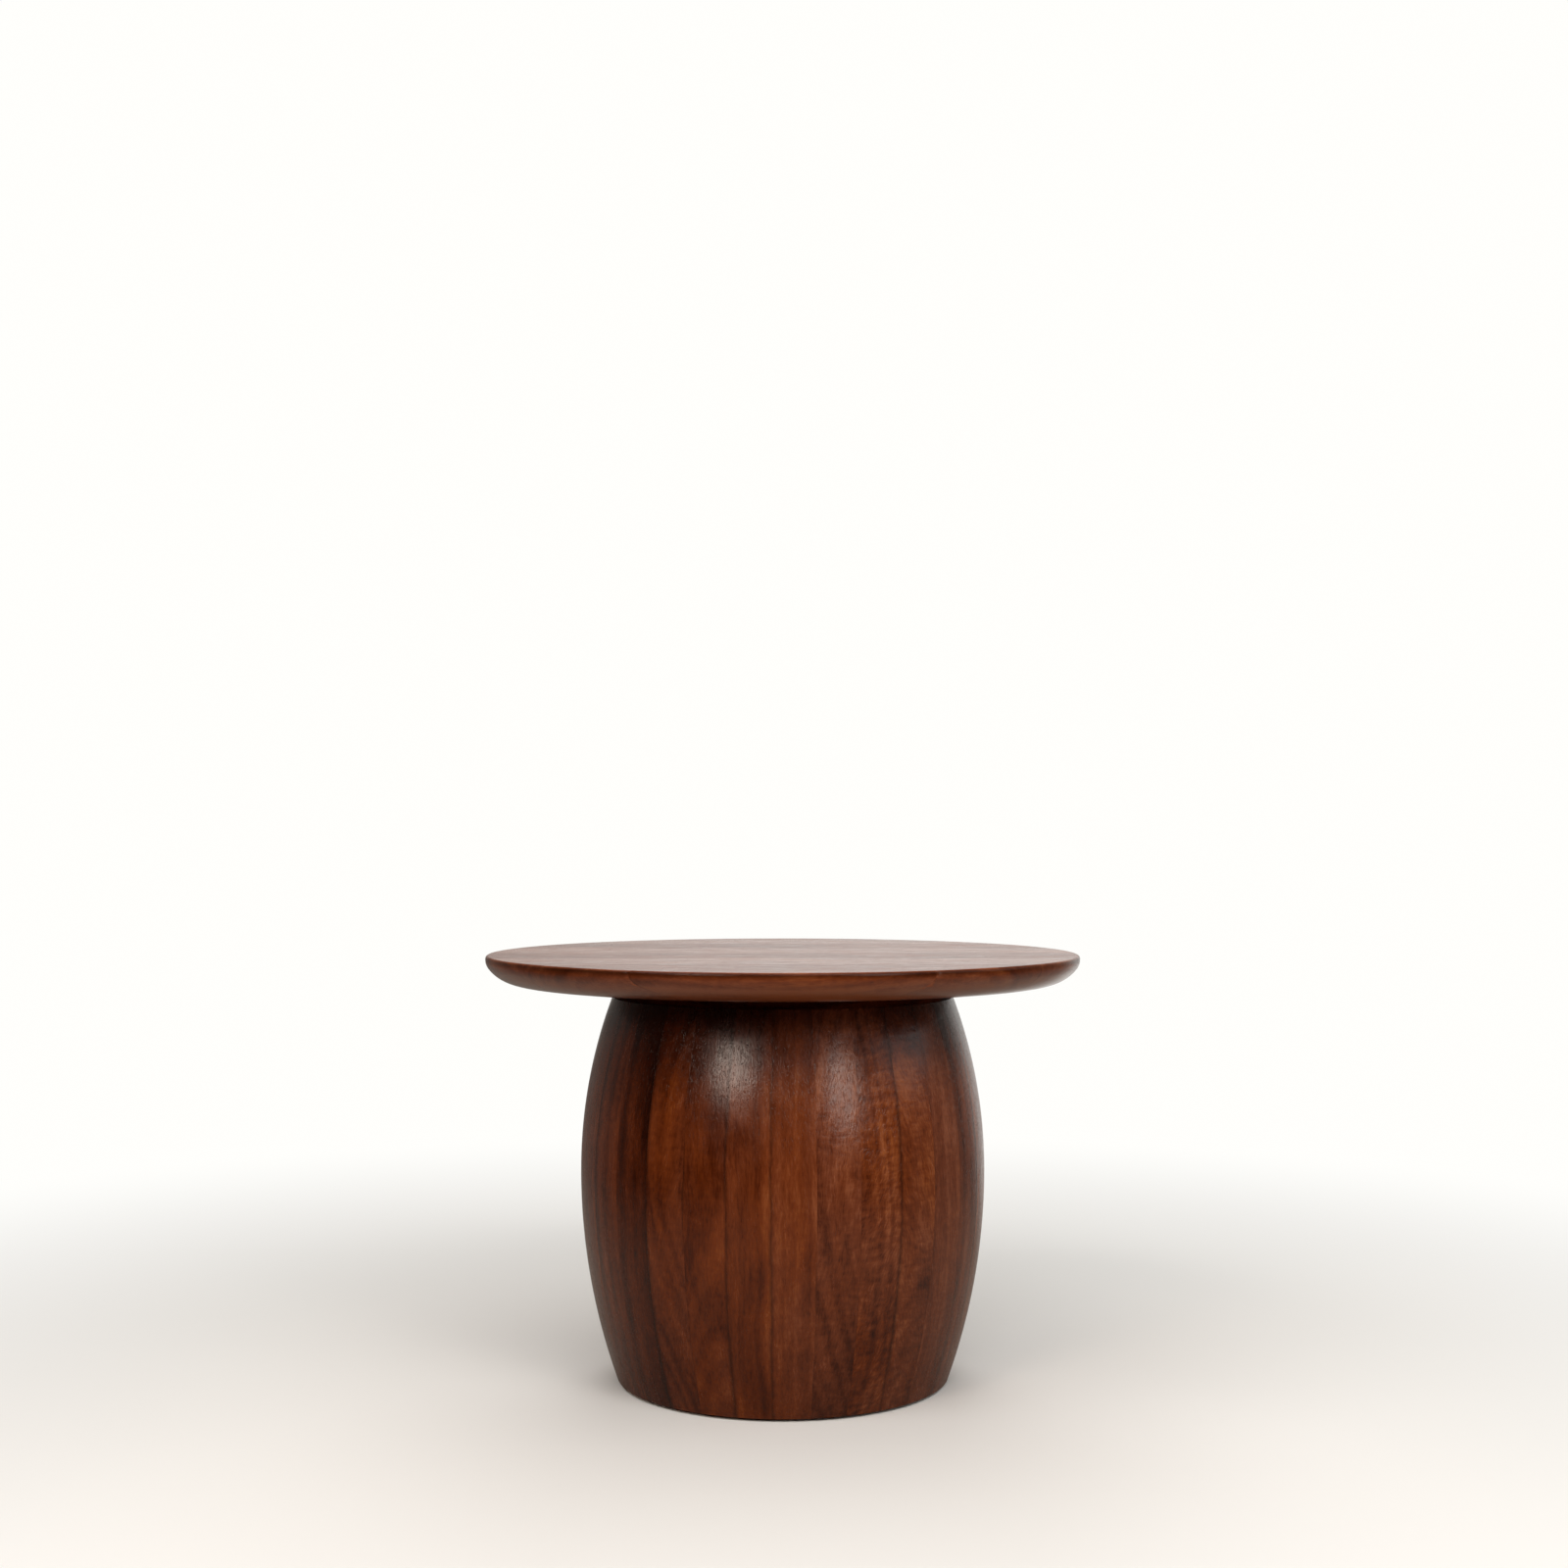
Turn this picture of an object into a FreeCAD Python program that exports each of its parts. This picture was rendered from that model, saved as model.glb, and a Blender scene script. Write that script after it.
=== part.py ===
"""A round accent table: a bevelled solid wood top on a hollow barrel of thirty staves.

All lengths are millimetres. The origin is on the floor under the middle of the table, +Z is up,
and the front of the table looks along -Y.
"""
import FreeCAD, Part
import math
import os

import Sketcher

# Driving sizes: alias, value, what it measures
DRIVING = [
    ("overall_height", 430, "floor to the top surface"),
    ("top_diameter", 600, "tabletop across its widest point"),
    ("top_thickness", 28, "tabletop"),
    ("top_arris", 3, "rounding of the tabletop's upper edge"),
    ("widest_drop", 4, "from the top surface down to where the underside bevel starts"),
    ("bevel_width", 34, "how far the underside bevel reaches in from the edge"),
    ("bevel_nose_share", 0.6, "tight nose radius of the bevel, as a share of the bevel's height"),
    ("board_count", 8, "boards that the tabletop is glued up from"),
    ("outer_board_width", 33, "what the round cut leaves of the first and last board"),
    ("disc_thickness", 15, "mounting disc between barrel and top"),
    ("disc_inset", 2, "how far the mounting disc's rim stays inside the barrel's neck"),
    ("belly_diameter", 409, "barrel at its widest"),
    ("belly_level", 213, "floor to the widest point of the barrel"),
    ("foot_inset", 36.5, "how far the foot draws in from the belly"),
    ("neck_inset", 31.5, "how far the neck draws in from the belly"),
    ("stave_count", 30, "staves round the barrel"),
    ("stave_turn", -87, "degrees from +X to the middle of the first stave"),
    ("stave_thickness", 23, "staves, measured square to their curve"),
    ("ring_thickness", 18, "plywood rings inside the barrel"),
    ("foot_ring_width", 35, "foot ring from its bore to the staves"),
    ("bolt_count", 6, "bolts that hold the top assembly on the barrel"),
    ("bolt_diameter", 6, "bolt shank"),
    ("bolt_head_diameter", 10, "bolt head"),
    ("bolt_head_height", 6, "bolt head"),
    ("bolt_chamfer", 0.8, "chamfer at the bolt's end"),
    ("bolt_socket_width", 5, "hexagon socket across its flats"),
    ("bolt_socket_depth", 3, "hexagon socket"),
    ("bolt_engagement", 10.4, "how far the bolt runs into the mounting disc"),
    ("washer_diameter", 18, "washer under the bolt head"),
    ("washer_thickness", 1.6, "washer"),
    ("washer_clearance", 0.2, "washer bore round the bolt, each side"),
    ("insert_diameter", 9.5, "threaded insert in the mounting disc"),
    ("insert_length", 12, "threaded insert"),
    ("insert_hole_spare", 1, "how much deeper the insert's hole is"),
    ("screw_count", 6, "wood screws that hold the mounting disc to the tabletop"),
    ("screw_inset", 25, "screw circle inside the rings' bore"),
    ("screw_diameter", 4.5, "wood screw shank"),
    ("screw_head_diameter", 9, "countersunk head"),
    ("screw_bite", 20, "how far a screw goes into the tabletop"),
    ("screw_point_length", 4, "tapered point of a screw"),
    ("screw_socket_width", 2.6, "square socket across its flats"),
    ("screw_socket_depth", 1.6, "square socket"),
    ("glide_count", 6, "glides under the foot ring"),
    ("glide_height", 3, "floor to the foot of the barrel"),
    ("glide_diameter", 26, "glide"),
    ("glide_arris", 0.8, "chamfer at a glide's lower rim"),
    ("glide_screw_recess", 0.6, "from the floor up to the glide screw's head"),
    ("glide_screw_diameter", 3, "glide screw shank"),
    ("glide_screw_head_diameter", 6, "countersunk head"),
    ("glide_screw_bite", 13, "how far a glide screw goes into the foot ring"),
    ("glide_screw_point_length", 3, "tapered point of a glide screw"),
    ("glide_screw_socket_width", 1.6, "square socket across its flats"),
    ("glide_screw_socket_depth", 1, "square socket"),
    ("hole_clearance", 0.25, "clearance holes round bolts and screws, each side"),
    ("thread_clearance", 0.05, "threaded holes round plain shanks, each side"),
    ("pilot_spare", 1, "how much deeper a pilot hole is than its screw"),
]

# Sizes worked out from the driving ones: alias, formula, what it measures
DERIVED = [
    ("top_radius", "top_diameter / 2", "tabletop"),
    ("top_flat_radius", "top_radius - top_arris", "flat of the top surface"),
    ("arris_level", "overall_height - top_arris", "lower end of the upper edge's rounding"),
    ("widest_level", "overall_height - widest_drop", "where the underside bevel starts"),
    ("top_underside", "overall_height - top_thickness", "flat underside of the top"),
    ("underside_radius", "top_radius - bevel_width", "flat underside of the top"),
    ("bevel_drop", "top_thickness - widest_drop", "height of the underside bevel"),
    ("bevel_nose", "bevel_drop * bevel_nose_share", "tight arc of the bevel"),
    ("bevel_sweep", "(bevel_width ^ 2 + bevel_drop ^ 2 - 2 * bevel_width * bevel_nose)"
     " / (2 * (bevel_drop - bevel_nose))", "long arc of the bevel"),
    ("bevel_join_share", "bevel_nose / (bevel_sweep - bevel_nose)", "nose arc to arc centres"),
    ("bevel_join_radius", "top_radius - bevel_nose + (bevel_width - bevel_nose) * bevel_join_share",
     "where the bevel's two arcs meet"),
    ("bevel_join_level", "widest_level - (bevel_sweep - bevel_drop) * bevel_join_share",
     "where the bevel's two arcs meet"),
    ("board_width", "(top_diameter - 2 * outer_board_width) / (board_count - 2)",
     "boards between the first and the last"),
    ("barrel_top", "top_underside - disc_thickness", "upper end of the staves"),
    ("foot_level", "glide_height", "lower end of the staves"),
    ("belly_radius", "belly_diameter / 2", "barrel at its widest"),
    ("foot_radius", "belly_radius - foot_inset", "barrel at its foot"),
    ("neck_radius", "belly_radius - neck_inset", "barrel at its neck"),
    ("lower_sweep", "(foot_inset ^ 2 + (belly_level - foot_level) ^ 2) / (2 * foot_inset)",
     "arc of the barrel below the belly"),
    ("upper_sweep", "(neck_inset ^ 2 + (barrel_top - belly_level) ^ 2) / (2 * neck_inset)",
     "arc of the barrel above the belly"),
    ("inner_lower_sweep", "lower_sweep - stave_thickness", "inner face below the belly"),
    ("inner_upper_sweep", "upper_sweep - stave_thickness", "inner face above the belly"),
    ("inner_belly_radius", "belly_radius - stave_thickness", "inner face at the belly"),
    ("inner_foot_radius", "belly_radius - lower_sweep"
     " + sqrt(inner_lower_sweep ^ 2 - (belly_level - foot_level) ^ 2)", "inner face at the foot"),
    ("inner_neck_radius", "belly_radius - upper_sweep"
     " + sqrt(inner_upper_sweep ^ 2 - (barrel_top - belly_level) ^ 2)", "inner face at the neck"),
    ("stave_angle", "360 / stave_count", "degrees that one stave takes"),
    ("ring_bore_radius", "inner_foot_radius - foot_ring_width", "bore of both rings"),
    ("foot_ring_top", "foot_level + ring_thickness", "top face of the foot ring"),
    ("foot_ring_top_radius", "belly_radius - lower_sweep"
     " + sqrt(inner_lower_sweep ^ 2 - (belly_level - foot_ring_top) ^ 2)", "its rim there"),
    ("upper_ring_underside", "barrel_top - ring_thickness", "lower face of the upper ring"),
    ("upper_ring_under_radius", "belly_radius - upper_sweep"
     " + sqrt(inner_upper_sweep ^ 2 - (upper_ring_underside - belly_level) ^ 2)", "its rim there"),
    ("disc_radius", "neck_radius - disc_inset", "mounting disc"),
    ("bolt_circle", "(ring_bore_radius + inner_neck_radius) / 2", "middle of the upper ring"),
    ("bolt_radius", "bolt_diameter / 2", "bolt shank"),
    ("bolt_head_radius", "bolt_head_diameter / 2", "bolt head"),
    ("bolt_head_top", "upper_ring_underside - washer_thickness", "where head and washer meet"),
    ("bolt_head_bottom", "bolt_head_top - bolt_head_height", "lower face of the head"),
    ("bolt_end", "barrel_top + bolt_engagement", "upper end of the bolt"),
    ("bolt_end_radius", "bolt_radius - bolt_chamfer", "bolt's end inside its chamfer"),
    ("bolt_chamfer_level", "bolt_end - bolt_chamfer", "where the end's chamfer starts"),
    ("bolt_hole_radius", "bolt_radius + hole_clearance", "hole in the upper ring"),
    ("bolt_socket_radius", "bolt_socket_width / sqrt(3)", "corner radius of the hexagon"),
    ("washer_radius", "washer_diameter / 2", "washer"),
    ("washer_bore_radius", "bolt_radius + washer_clearance", "washer bore"),
    ("insert_radius", "insert_diameter / 2", "insert and its hole"),
    ("insert_bore_radius", "bolt_radius + thread_clearance", "thread in the insert"),
    ("insert_end", "barrel_top + insert_length", "upper end of the insert"),
    ("insert_hole_end", "insert_end + insert_hole_spare", "bottom of the insert's hole"),
    ("screw_circle", "ring_bore_radius - screw_inset", "circle of the disc's screws"),
    ("screw_radius", "screw_diameter / 2", "screw shank"),
    ("screw_head_radius", "screw_head_diameter / 2", "screw head"),
    ("screw_neck_level", "barrel_top + screw_head_radius - screw_radius", "end of the head's cone"),
    ("screw_hole_radius", "screw_radius + hole_clearance", "hole in the disc"),
    ("screw_hole_neck", "barrel_top + screw_head_radius - screw_hole_radius",
     "end of the countersink in the disc"),
    ("screw_end", "top_underside + screw_bite", "tip of the screw"),
    ("screw_point_level", "screw_end - screw_point_length", "where the screw's point starts"),
    ("screw_pilot_radius", "screw_radius + thread_clearance", "pilot hole in the top"),
    ("screw_pilot_end", "screw_end + pilot_spare", "bottom of the pilot hole"),
    ("screw_socket_radius", "screw_socket_width / sqrt(2)", "corner radius of the square"),
    ("glide_circle", "(ring_bore_radius + inner_foot_radius) / 2", "middle of the foot ring"),
    ("glide_radius", "glide_diameter / 2", "glide"),
    ("glide_sole_radius", "glide_radius - glide_arris", "flat sole of a glide"),
    ("glide_screw_radius", "glide_screw_diameter / 2", "screw shank"),
    ("glide_screw_head_radius", "glide_screw_head_diameter / 2", "screw head"),
    ("glide_screw_neck", "glide_screw_recess + glide_screw_head_radius - glide_screw_radius",
     "end of the head's cone"),
    ("glide_hole_radius", "glide_screw_radius + thread_clearance", "holes for the glide screw"),
    ("glide_hole_neck", "glide_screw_recess + glide_screw_head_radius - glide_hole_radius",
     "end of the countersink in the glide"),
    ("glide_screw_end", "foot_level + glide_screw_bite", "tip of the screw"),
    ("glide_screw_point_level", "glide_screw_end - glide_screw_point_length",
     "where the screw's point starts"),
    ("glide_pilot_end", "glide_screw_end + pilot_spare", "bottom of the pilot hole"),
    ("glide_screw_socket_radius", "glide_screw_socket_width / sqrt(2)",
     "corner radius of the square"),
]

FULL_TURN = 360
Z_UP = FreeCAD.Vector(0, 0, 1)
HEXAGON_SIDE_COUNT = 6
SQUARE_SIDE_COUNT = 4

# A sketch's own level line and upright line, and the points of an edge, by their numbers
UPRIGHT_LINE, LEVEL_LINE = range(-2, 0)
START, END, CENTRE = range(1, 4)

doc = FreeCAD.newDocument("accent_table")
sheet = doc.addObject("Spreadsheet::Sheet", "sizes")


def fill_sheet():
    """Writes every size, one a row: its name, its value or formula, and what it measures."""
    rows = [(alias, str(value), words) for alias, value, words in DRIVING]
    rows += [(alias, "=" + formula, words) for alias, formula, words in DERIVED]
    for row, (alias, content, words) in enumerate(rows, start=1):
        sheet.set(f"A{row}", alias)
        sheet.set(f"B{row}", content)
        sheet.set(f"C{row}", words)
        sheet.setAlias(f"B{row}", alias)
    doc.recompute()


def size(alias):
    """The value of one named size. Zero stands for the axis or the floor."""
    if alias == 0:
        return 0.0
    return float(sheet.get(alias))


def new_body(label):
    """An empty body with its own label, and its origin's planes and axes by their role."""
    body = doc.addObject("PartDesign::Body", label)
    body.Label = label
    roles = {item.Role: item for item in body.Origin.OriginFeatures}
    return body, roles


def bind(sketch, constraint, alias):
    """Adds one dimension to a sketch and ties it to a cell of the sheet."""
    number = sketch.addConstraint(constraint)
    sketch.renameConstraint(number, f"{alias}_{number}")
    sketch.setExpression(f"Constraints[{number}]", f"sizes.{alias}")


def arc_between(start, end, radius):
    """The arc of a given radius that turns left, counter-clockwise, from start to end."""
    chord = end - start
    left = FreeCAD.Vector(-chord.y, chord.x, 0)
    left.normalize()
    centre = (start + end) / 2 + left * math.sqrt(radius ** 2 - (chord.Length / 2) ** 2)
    begin = math.atan2(start.y - centre.y, start.x - centre.x)
    finish = math.atan2(end.y - centre.y, end.x - centre.x)
    if finish < begin:
        finish += 2 * math.pi
    return Part.ArcOfCircle(Part.Circle(centre, Z_UP, radius), begin, finish)


def outline(body, roles, name, corners, axis=0, plane="XZ_Plane"):
    """A closed outline in an upright plane, every corner and arc tied to named sizes.

    Each corner is (radius, level) where the edge that comes to it is straight, or
    (radius, level, sweep, turn) where it is an arc of that radius, turning left or right. Radii
    are counted from the table's axis, or from an upright axis that stands at the named size from it.
    A sketch keeps every arc counter-clockwise, so one that turns right is drawn from its far end.
    """
    sketch = body.newObject("Sketcher::SketchObject", name)
    sketch.AttachmentSupport = [(roles[plane], "")]
    sketch.MapMode = "FlatFace"
    spots = [FreeCAD.Vector(size(axis) + size(corner[0]), size(corner[1]), 0) for corner in corners]
    ends = []
    for number, (_, _, *arc) in enumerate(corners):
        before = spots[number - 1]
        after = spots[number]
        ends.append(END)
        if not arc:
            edge = Part.LineSegment(before, after)
        elif arc[1] == "left":
            edge = arc_between(before, after, size(arc[0]))
        else:
            edge = arc_between(after, before, size(arc[0]))
            ends[number] = START
        sketch.addGeometry(edge, False)
    starts = [START if end == END else END for end in ends]
    pole = add_pole(sketch, axis, corners) if axis else None
    for number, (radius, level, *arc) in enumerate(corners):
        following = (number + 1) % len(corners)
        meeting = Sketcher.Constraint("Coincident", number, ends[number], following, starts[following])
        sketch.addConstraint(meeting)
        tie_radius(sketch, number, ends[number], radius, pole)
        tie_level(sketch, number, ends[number], level)
        if arc:
            bind(sketch, Sketcher.Constraint("Radius", number, size(arc[0])), arc[0])
    return sketch


def add_pole(sketch, axis, corners):
    """A helper line for an outline's own upright axis, from its lowest corner to its highest."""
    levels = sorted({corner[1] for corner in corners}, key=size)
    low = FreeCAD.Vector(size(axis), size(levels[0]), 0)
    high = FreeCAD.Vector(size(axis), size(levels[-1]), 0)
    pole = sketch.addGeometry(Part.LineSegment(low, high), True)
    sketch.addConstraint(Sketcher.Constraint("Vertical", pole))
    bind(sketch, Sketcher.Constraint("DistanceX", LEVEL_LINE, START, pole, START, size(axis)), axis)
    tie_level(sketch, pole, START, levels[0])
    tie_level(sketch, pole, END, levels[-1])
    return pole


def tie_radius(sketch, edge, end, radius, pole):
    """Ties how far one end of an edge stands from the axis: to the sheet, or to the axis where zero."""
    if radius == 0:
        upright = UPRIGHT_LINE if pole is None else pole
        sketch.addConstraint(Sketcher.Constraint("PointOnObject", edge, end, upright))
    else:
        foot = LEVEL_LINE if pole is None else pole
        bind(sketch, Sketcher.Constraint("DistanceX", foot, START, edge, end, size(radius)), radius)


def tie_level(sketch, edge, end, level):
    """Ties the level of one end of an edge to the sheet, or to the floor where zero."""
    if level == 0:
        sketch.addConstraint(Sketcher.Constraint("PointOnObject", edge, end, LEVEL_LINE))
    else:
        limit = Sketcher.Constraint("DistanceY", LEVEL_LINE, START, edge, end, size(level))
        bind(sketch, limit, level)


def turned(body, roles, name, corners, axis=0, plane="XZ_Plane", kind="Revolution"):
    """A turned shape, or with kind Groove a turned cut, from an outline."""
    sketch = outline(body, roles, f"{name}_outline", corners, axis, plane)
    feature = body.newObject(f"PartDesign::{kind}", name)
    feature.Profile = sketch
    feature.ReferenceAxis = (sketch, ["Axis0"]) if axis else (sketch, ["V_Axis"])
    feature.Angle = FULL_TURN
    sketch.Visibility = False
    return feature


def repeated(body, roles, name, features, count):
    """Repeats features at even steps round the table's axis."""
    pattern = body.newObject("PartDesign::PolarPattern", name)
    pattern.Originals = features
    pattern.Axis = (roles["Z_Axis"], [""])
    pattern.Angle = FULL_TURN
    pattern.setExpression("Occurrences", f"sizes.{count}")
    body.Tip = pattern
    return pattern


def drive_socket(body, roles, name, sides, radius, depth, level, axis, plane):
    """A many-sided socket cut upwards into the lower face of a head."""
    sketch = body.newObject("Sketcher::SketchObject", f"{name}_outline")
    sketch.AttachmentSupport = [(roles["XY_Plane"], "")]
    sketch.MapMode = "FlatFace"
    sketch.AttachmentOffset = FreeCAD.Placement(FreeCAD.Vector(0, 0, size(level)), FreeCAD.Rotation())
    sketch.setExpression("AttachmentOffset.Base.z", f"sizes.{level}")
    along_x = plane == "XZ_Plane"
    middle = FreeCAD.Vector(size(axis), 0, 0) if along_x else FreeCAD.Vector(0, size(axis), 0)
    circle = sketch.addGeometry(Part.Circle(middle, Z_UP, size(radius)), True)
    turns = [2 * math.pi * number / sides for number in range(sides)]
    spots = [middle + FreeCAD.Vector(math.cos(turn), math.sin(turn), 0) * size(radius) for turn in turns]
    edges = [sketch.addGeometry(Part.LineSegment(spots[number - 1], spots[number]), False)
             for number in range(sides)]
    for number, edge in enumerate(edges):
        after = edges[(number + 1) % sides]
        sketch.addConstraint(Sketcher.Constraint("Coincident", edge, END, after, START))
        sketch.addConstraint(Sketcher.Constraint("PointOnObject", edge, END, circle))
        if number > 0:
            sketch.addConstraint(Sketcher.Constraint("Equal", edges[0], edge))
    sketch.addConstraint(Sketcher.Constraint("Horizontal", circle, CENTRE, edges[0], END))
    bind(sketch, Sketcher.Constraint("Radius", circle, size(radius)), radius)
    across = "DistanceX" if along_x else "DistanceY"
    own_line = LEVEL_LINE if along_x else UPRIGHT_LINE
    bind(sketch, Sketcher.Constraint(across, LEVEL_LINE, START, circle, CENTRE, size(axis)), axis)
    sketch.addConstraint(Sketcher.Constraint("PointOnObject", circle, CENTRE, own_line))
    pocket = body.newObject("PartDesign::Pocket", name)
    pocket.Profile = sketch
    pocket.Type = "Length"
    pocket.Reversed = True
    pocket.setExpression("Length", f"sizes.{depth}")
    sketch.Visibility = False
    return pocket


def make_stave(number):
    """One stave: the barrel's curved wall, swept through its share of the circle and turned to place."""
    body, roles = new_body(f"stave_{number + 1:02d}")
    corners = [
        ("foot_radius", "foot_level"),
        ("belly_radius", "belly_level", "lower_sweep", "left"),
        ("neck_radius", "barrel_top", "upper_sweep", "left"),
        ("inner_neck_radius", "barrel_top"),
        ("inner_belly_radius", "belly_level", "inner_upper_sweep", "right"),
        ("inner_foot_radius", "foot_level", "inner_lower_sweep", "right"),
    ]
    wall = turned(body, roles, "stave_wall", corners)
    wall.Midplane = True
    wall.setExpression("Angle", "sizes.stave_angle")
    body.Placement = FreeCAD.Placement(FreeCAD.Vector(), FreeCAD.Rotation(Z_UP, size("stave_angle")))
    body.setExpression("Placement.Rotation.Angle", f"sizes.stave_turn + sizes.stave_angle * {number}")
    return body


def make_top_blank():
    """The whole round tabletop with its pilot holes, before it is divided into its boards."""
    body, roles = new_body("top_blank")
    corners = [
        (0, "top_underside"),
        ("underside_radius", "top_underside"),
        ("bevel_join_radius", "bevel_join_level", "bevel_sweep", "left"),
        ("top_radius", "widest_level", "bevel_nose", "left"),
        ("top_radius", "arris_level"),
        ("top_flat_radius", "overall_height", "top_arris", "left"),
        (0, "overall_height"),
    ]
    turned(body, roles, "top_disc", corners)
    doc.recompute()
    pilot = [
        (0, "top_underside"),
        ("screw_pilot_radius", "top_underside"),
        ("screw_pilot_radius", "screw_pilot_end"),
        (0, "screw_pilot_end"),
    ]
    hole = turned(body, roles, "top_pilot", pilot, "screw_circle", "YZ_Plane", "Groove")
    repeated(body, roles, "top_pilots", [hole], "screw_count")
    return body


def make_top_board(blank, number, boards):
    """One board of the tabletop: what a straight board's width leaves of the round blank."""
    outer = number in (0, boards - 1)
    box = doc.addObject("Part::Box", f"board_{number + 1}_stock")
    box.setExpression("Length", "sizes.top_diameter")
    box.setExpression("Width", "sizes.outer_board_width" if outer else "sizes.board_width")
    box.setExpression("Height", "sizes.top_thickness")
    box.setExpression("Placement.Base.x", "-sizes.top_radius")
    near_side = "-sizes.top_radius"
    if number > 0:
        near_side += f" + sizes.outer_board_width + sizes.board_width * {number - 1}"
    box.setExpression("Placement.Base.y", near_side)
    box.setExpression("Placement.Base.z", "sizes.top_underside")
    board = doc.addObject("Part::Common", f"top_board_{number + 1}")
    board.Base = blank
    board.Tool = box
    board.Label = f"top_board_{number + 1}"
    return board


def make_mounting_disc():
    """The disc that ties top and barrel: holes for the top's screws, and blind holes for inserts."""
    body, roles = new_body("mounting_disc")
    corners = [
        (0, "barrel_top"),
        ("disc_radius", "barrel_top"),
        ("disc_radius", "top_underside"),
        (0, "top_underside"),
    ]
    turned(body, roles, "disc", corners)
    doc.recompute()
    screw_hole = [
        (0, "barrel_top"),
        ("screw_head_radius", "barrel_top"),
        ("screw_hole_radius", "screw_hole_neck"),
        ("screw_hole_radius", "top_underside"),
        (0, "top_underside"),
    ]
    hole = turned(body, roles, "screw_hole", screw_hole, "screw_circle", "YZ_Plane", "Groove")
    repeated(body, roles, "screw_holes", [hole], "screw_count")
    doc.recompute()
    insert_hole = [
        (0, "barrel_top"),
        ("insert_radius", "barrel_top"),
        ("insert_radius", "insert_hole_end"),
        (0, "insert_hole_end"),
    ]
    hole = turned(body, roles, "insert_hole", insert_hole, "bolt_circle", "XZ_Plane", "Groove")
    repeated(body, roles, "insert_holes", [hole], "bolt_count")
    return body


def make_upper_ring():
    """The ring glued inside the neck, level with the staves' ends, with the bolts' holes."""
    body, roles = new_body("upper_ring")
    corners = [
        ("ring_bore_radius", "upper_ring_underside"),
        ("upper_ring_under_radius", "upper_ring_underside"),
        ("inner_neck_radius", "barrel_top", "inner_upper_sweep", "left"),
        ("ring_bore_radius", "barrel_top"),
    ]
    turned(body, roles, "ring", corners)
    doc.recompute()
    bolt_hole = [
        (0, "upper_ring_underside"),
        ("bolt_hole_radius", "upper_ring_underside"),
        ("bolt_hole_radius", "barrel_top"),
        (0, "barrel_top"),
    ]
    hole = turned(body, roles, "bolt_hole", bolt_hole, "bolt_circle", "XZ_Plane", "Groove")
    repeated(body, roles, "bolt_holes", [hole], "bolt_count")
    return body


def make_foot_ring():
    """The ring glued inside the foot, level with the staves' ends, with the glide screws' holes."""
    body, roles = new_body("foot_ring")
    corners = [
        ("ring_bore_radius", "foot_level"),
        ("inner_foot_radius", "foot_level"),
        ("foot_ring_top_radius", "foot_ring_top", "inner_lower_sweep", "left"),
        ("ring_bore_radius", "foot_ring_top"),
    ]
    turned(body, roles, "ring", corners)
    doc.recompute()
    pilot = [
        (0, "foot_level"),
        ("glide_hole_radius", "foot_level"),
        ("glide_hole_radius", "glide_pilot_end"),
        (0, "glide_pilot_end"),
    ]
    hole = turned(body, roles, "glide_pilot", pilot, "glide_circle", "XZ_Plane", "Groove")
    repeated(body, roles, "glide_pilots", [hole], "glide_count")
    return body


def make_top_bolts():
    """Socket head bolts, heads down, up through the upper ring into the inserts."""
    body, roles = new_body("top_bolts")
    corners = [
        (0, "bolt_head_bottom"),
        ("bolt_head_radius", "bolt_head_bottom"),
        ("bolt_head_radius", "bolt_head_top"),
        ("bolt_radius", "bolt_head_top"),
        ("bolt_radius", "bolt_chamfer_level"),
        ("bolt_end_radius", "bolt_end"),
        (0, "bolt_end"),
    ]
    bolt = turned(body, roles, "bolt", corners, "bolt_circle")
    doc.recompute()
    socket = drive_socket(body, roles, "bolt_socket", HEXAGON_SIDE_COUNT, "bolt_socket_radius",
                          "bolt_socket_depth", "bolt_head_bottom", "bolt_circle", "XZ_Plane")
    repeated(body, roles, "bolts", [bolt, socket], "bolt_count")
    return body


def make_bolt_washers():
    """Plain washers between the bolt heads and the upper ring."""
    body, roles = new_body("bolt_washers")
    corners = [
        ("washer_bore_radius", "bolt_head_top"),
        ("washer_radius", "bolt_head_top"),
        ("washer_radius", "upper_ring_underside"),
        ("washer_bore_radius", "upper_ring_underside"),
    ]
    washer = turned(body, roles, "washer", corners, "bolt_circle")
    repeated(body, roles, "washers", [washer], "bolt_count")
    return body


def make_threaded_inserts():
    """Metal sleeves let into the mounting disc, level with its underside."""
    body, roles = new_body("threaded_inserts")
    corners = [
        ("insert_bore_radius", "barrel_top"),
        ("insert_radius", "barrel_top"),
        ("insert_radius", "insert_end"),
        ("insert_bore_radius", "insert_end"),
    ]
    insert = turned(body, roles, "insert", corners, "bolt_circle")
    repeated(body, roles, "inserts", [insert], "bolt_count")
    return body


def make_disc_screws():
    """Countersunk wood screws, up through the mounting disc into the tabletop."""
    body, roles = new_body("disc_screws")
    corners = [
        (0, "barrel_top"),
        ("screw_head_radius", "barrel_top"),
        ("screw_radius", "screw_neck_level"),
        ("screw_radius", "screw_point_level"),
        (0, "screw_end"),
    ]
    screw = turned(body, roles, "screw", corners, "screw_circle", "YZ_Plane")
    doc.recompute()
    socket = drive_socket(body, roles, "screw_socket", SQUARE_SIDE_COUNT, "screw_socket_radius",
                          "screw_socket_depth", "barrel_top", "screw_circle", "YZ_Plane")
    repeated(body, roles, "screws", [screw, socket], "screw_count")
    return body


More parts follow.
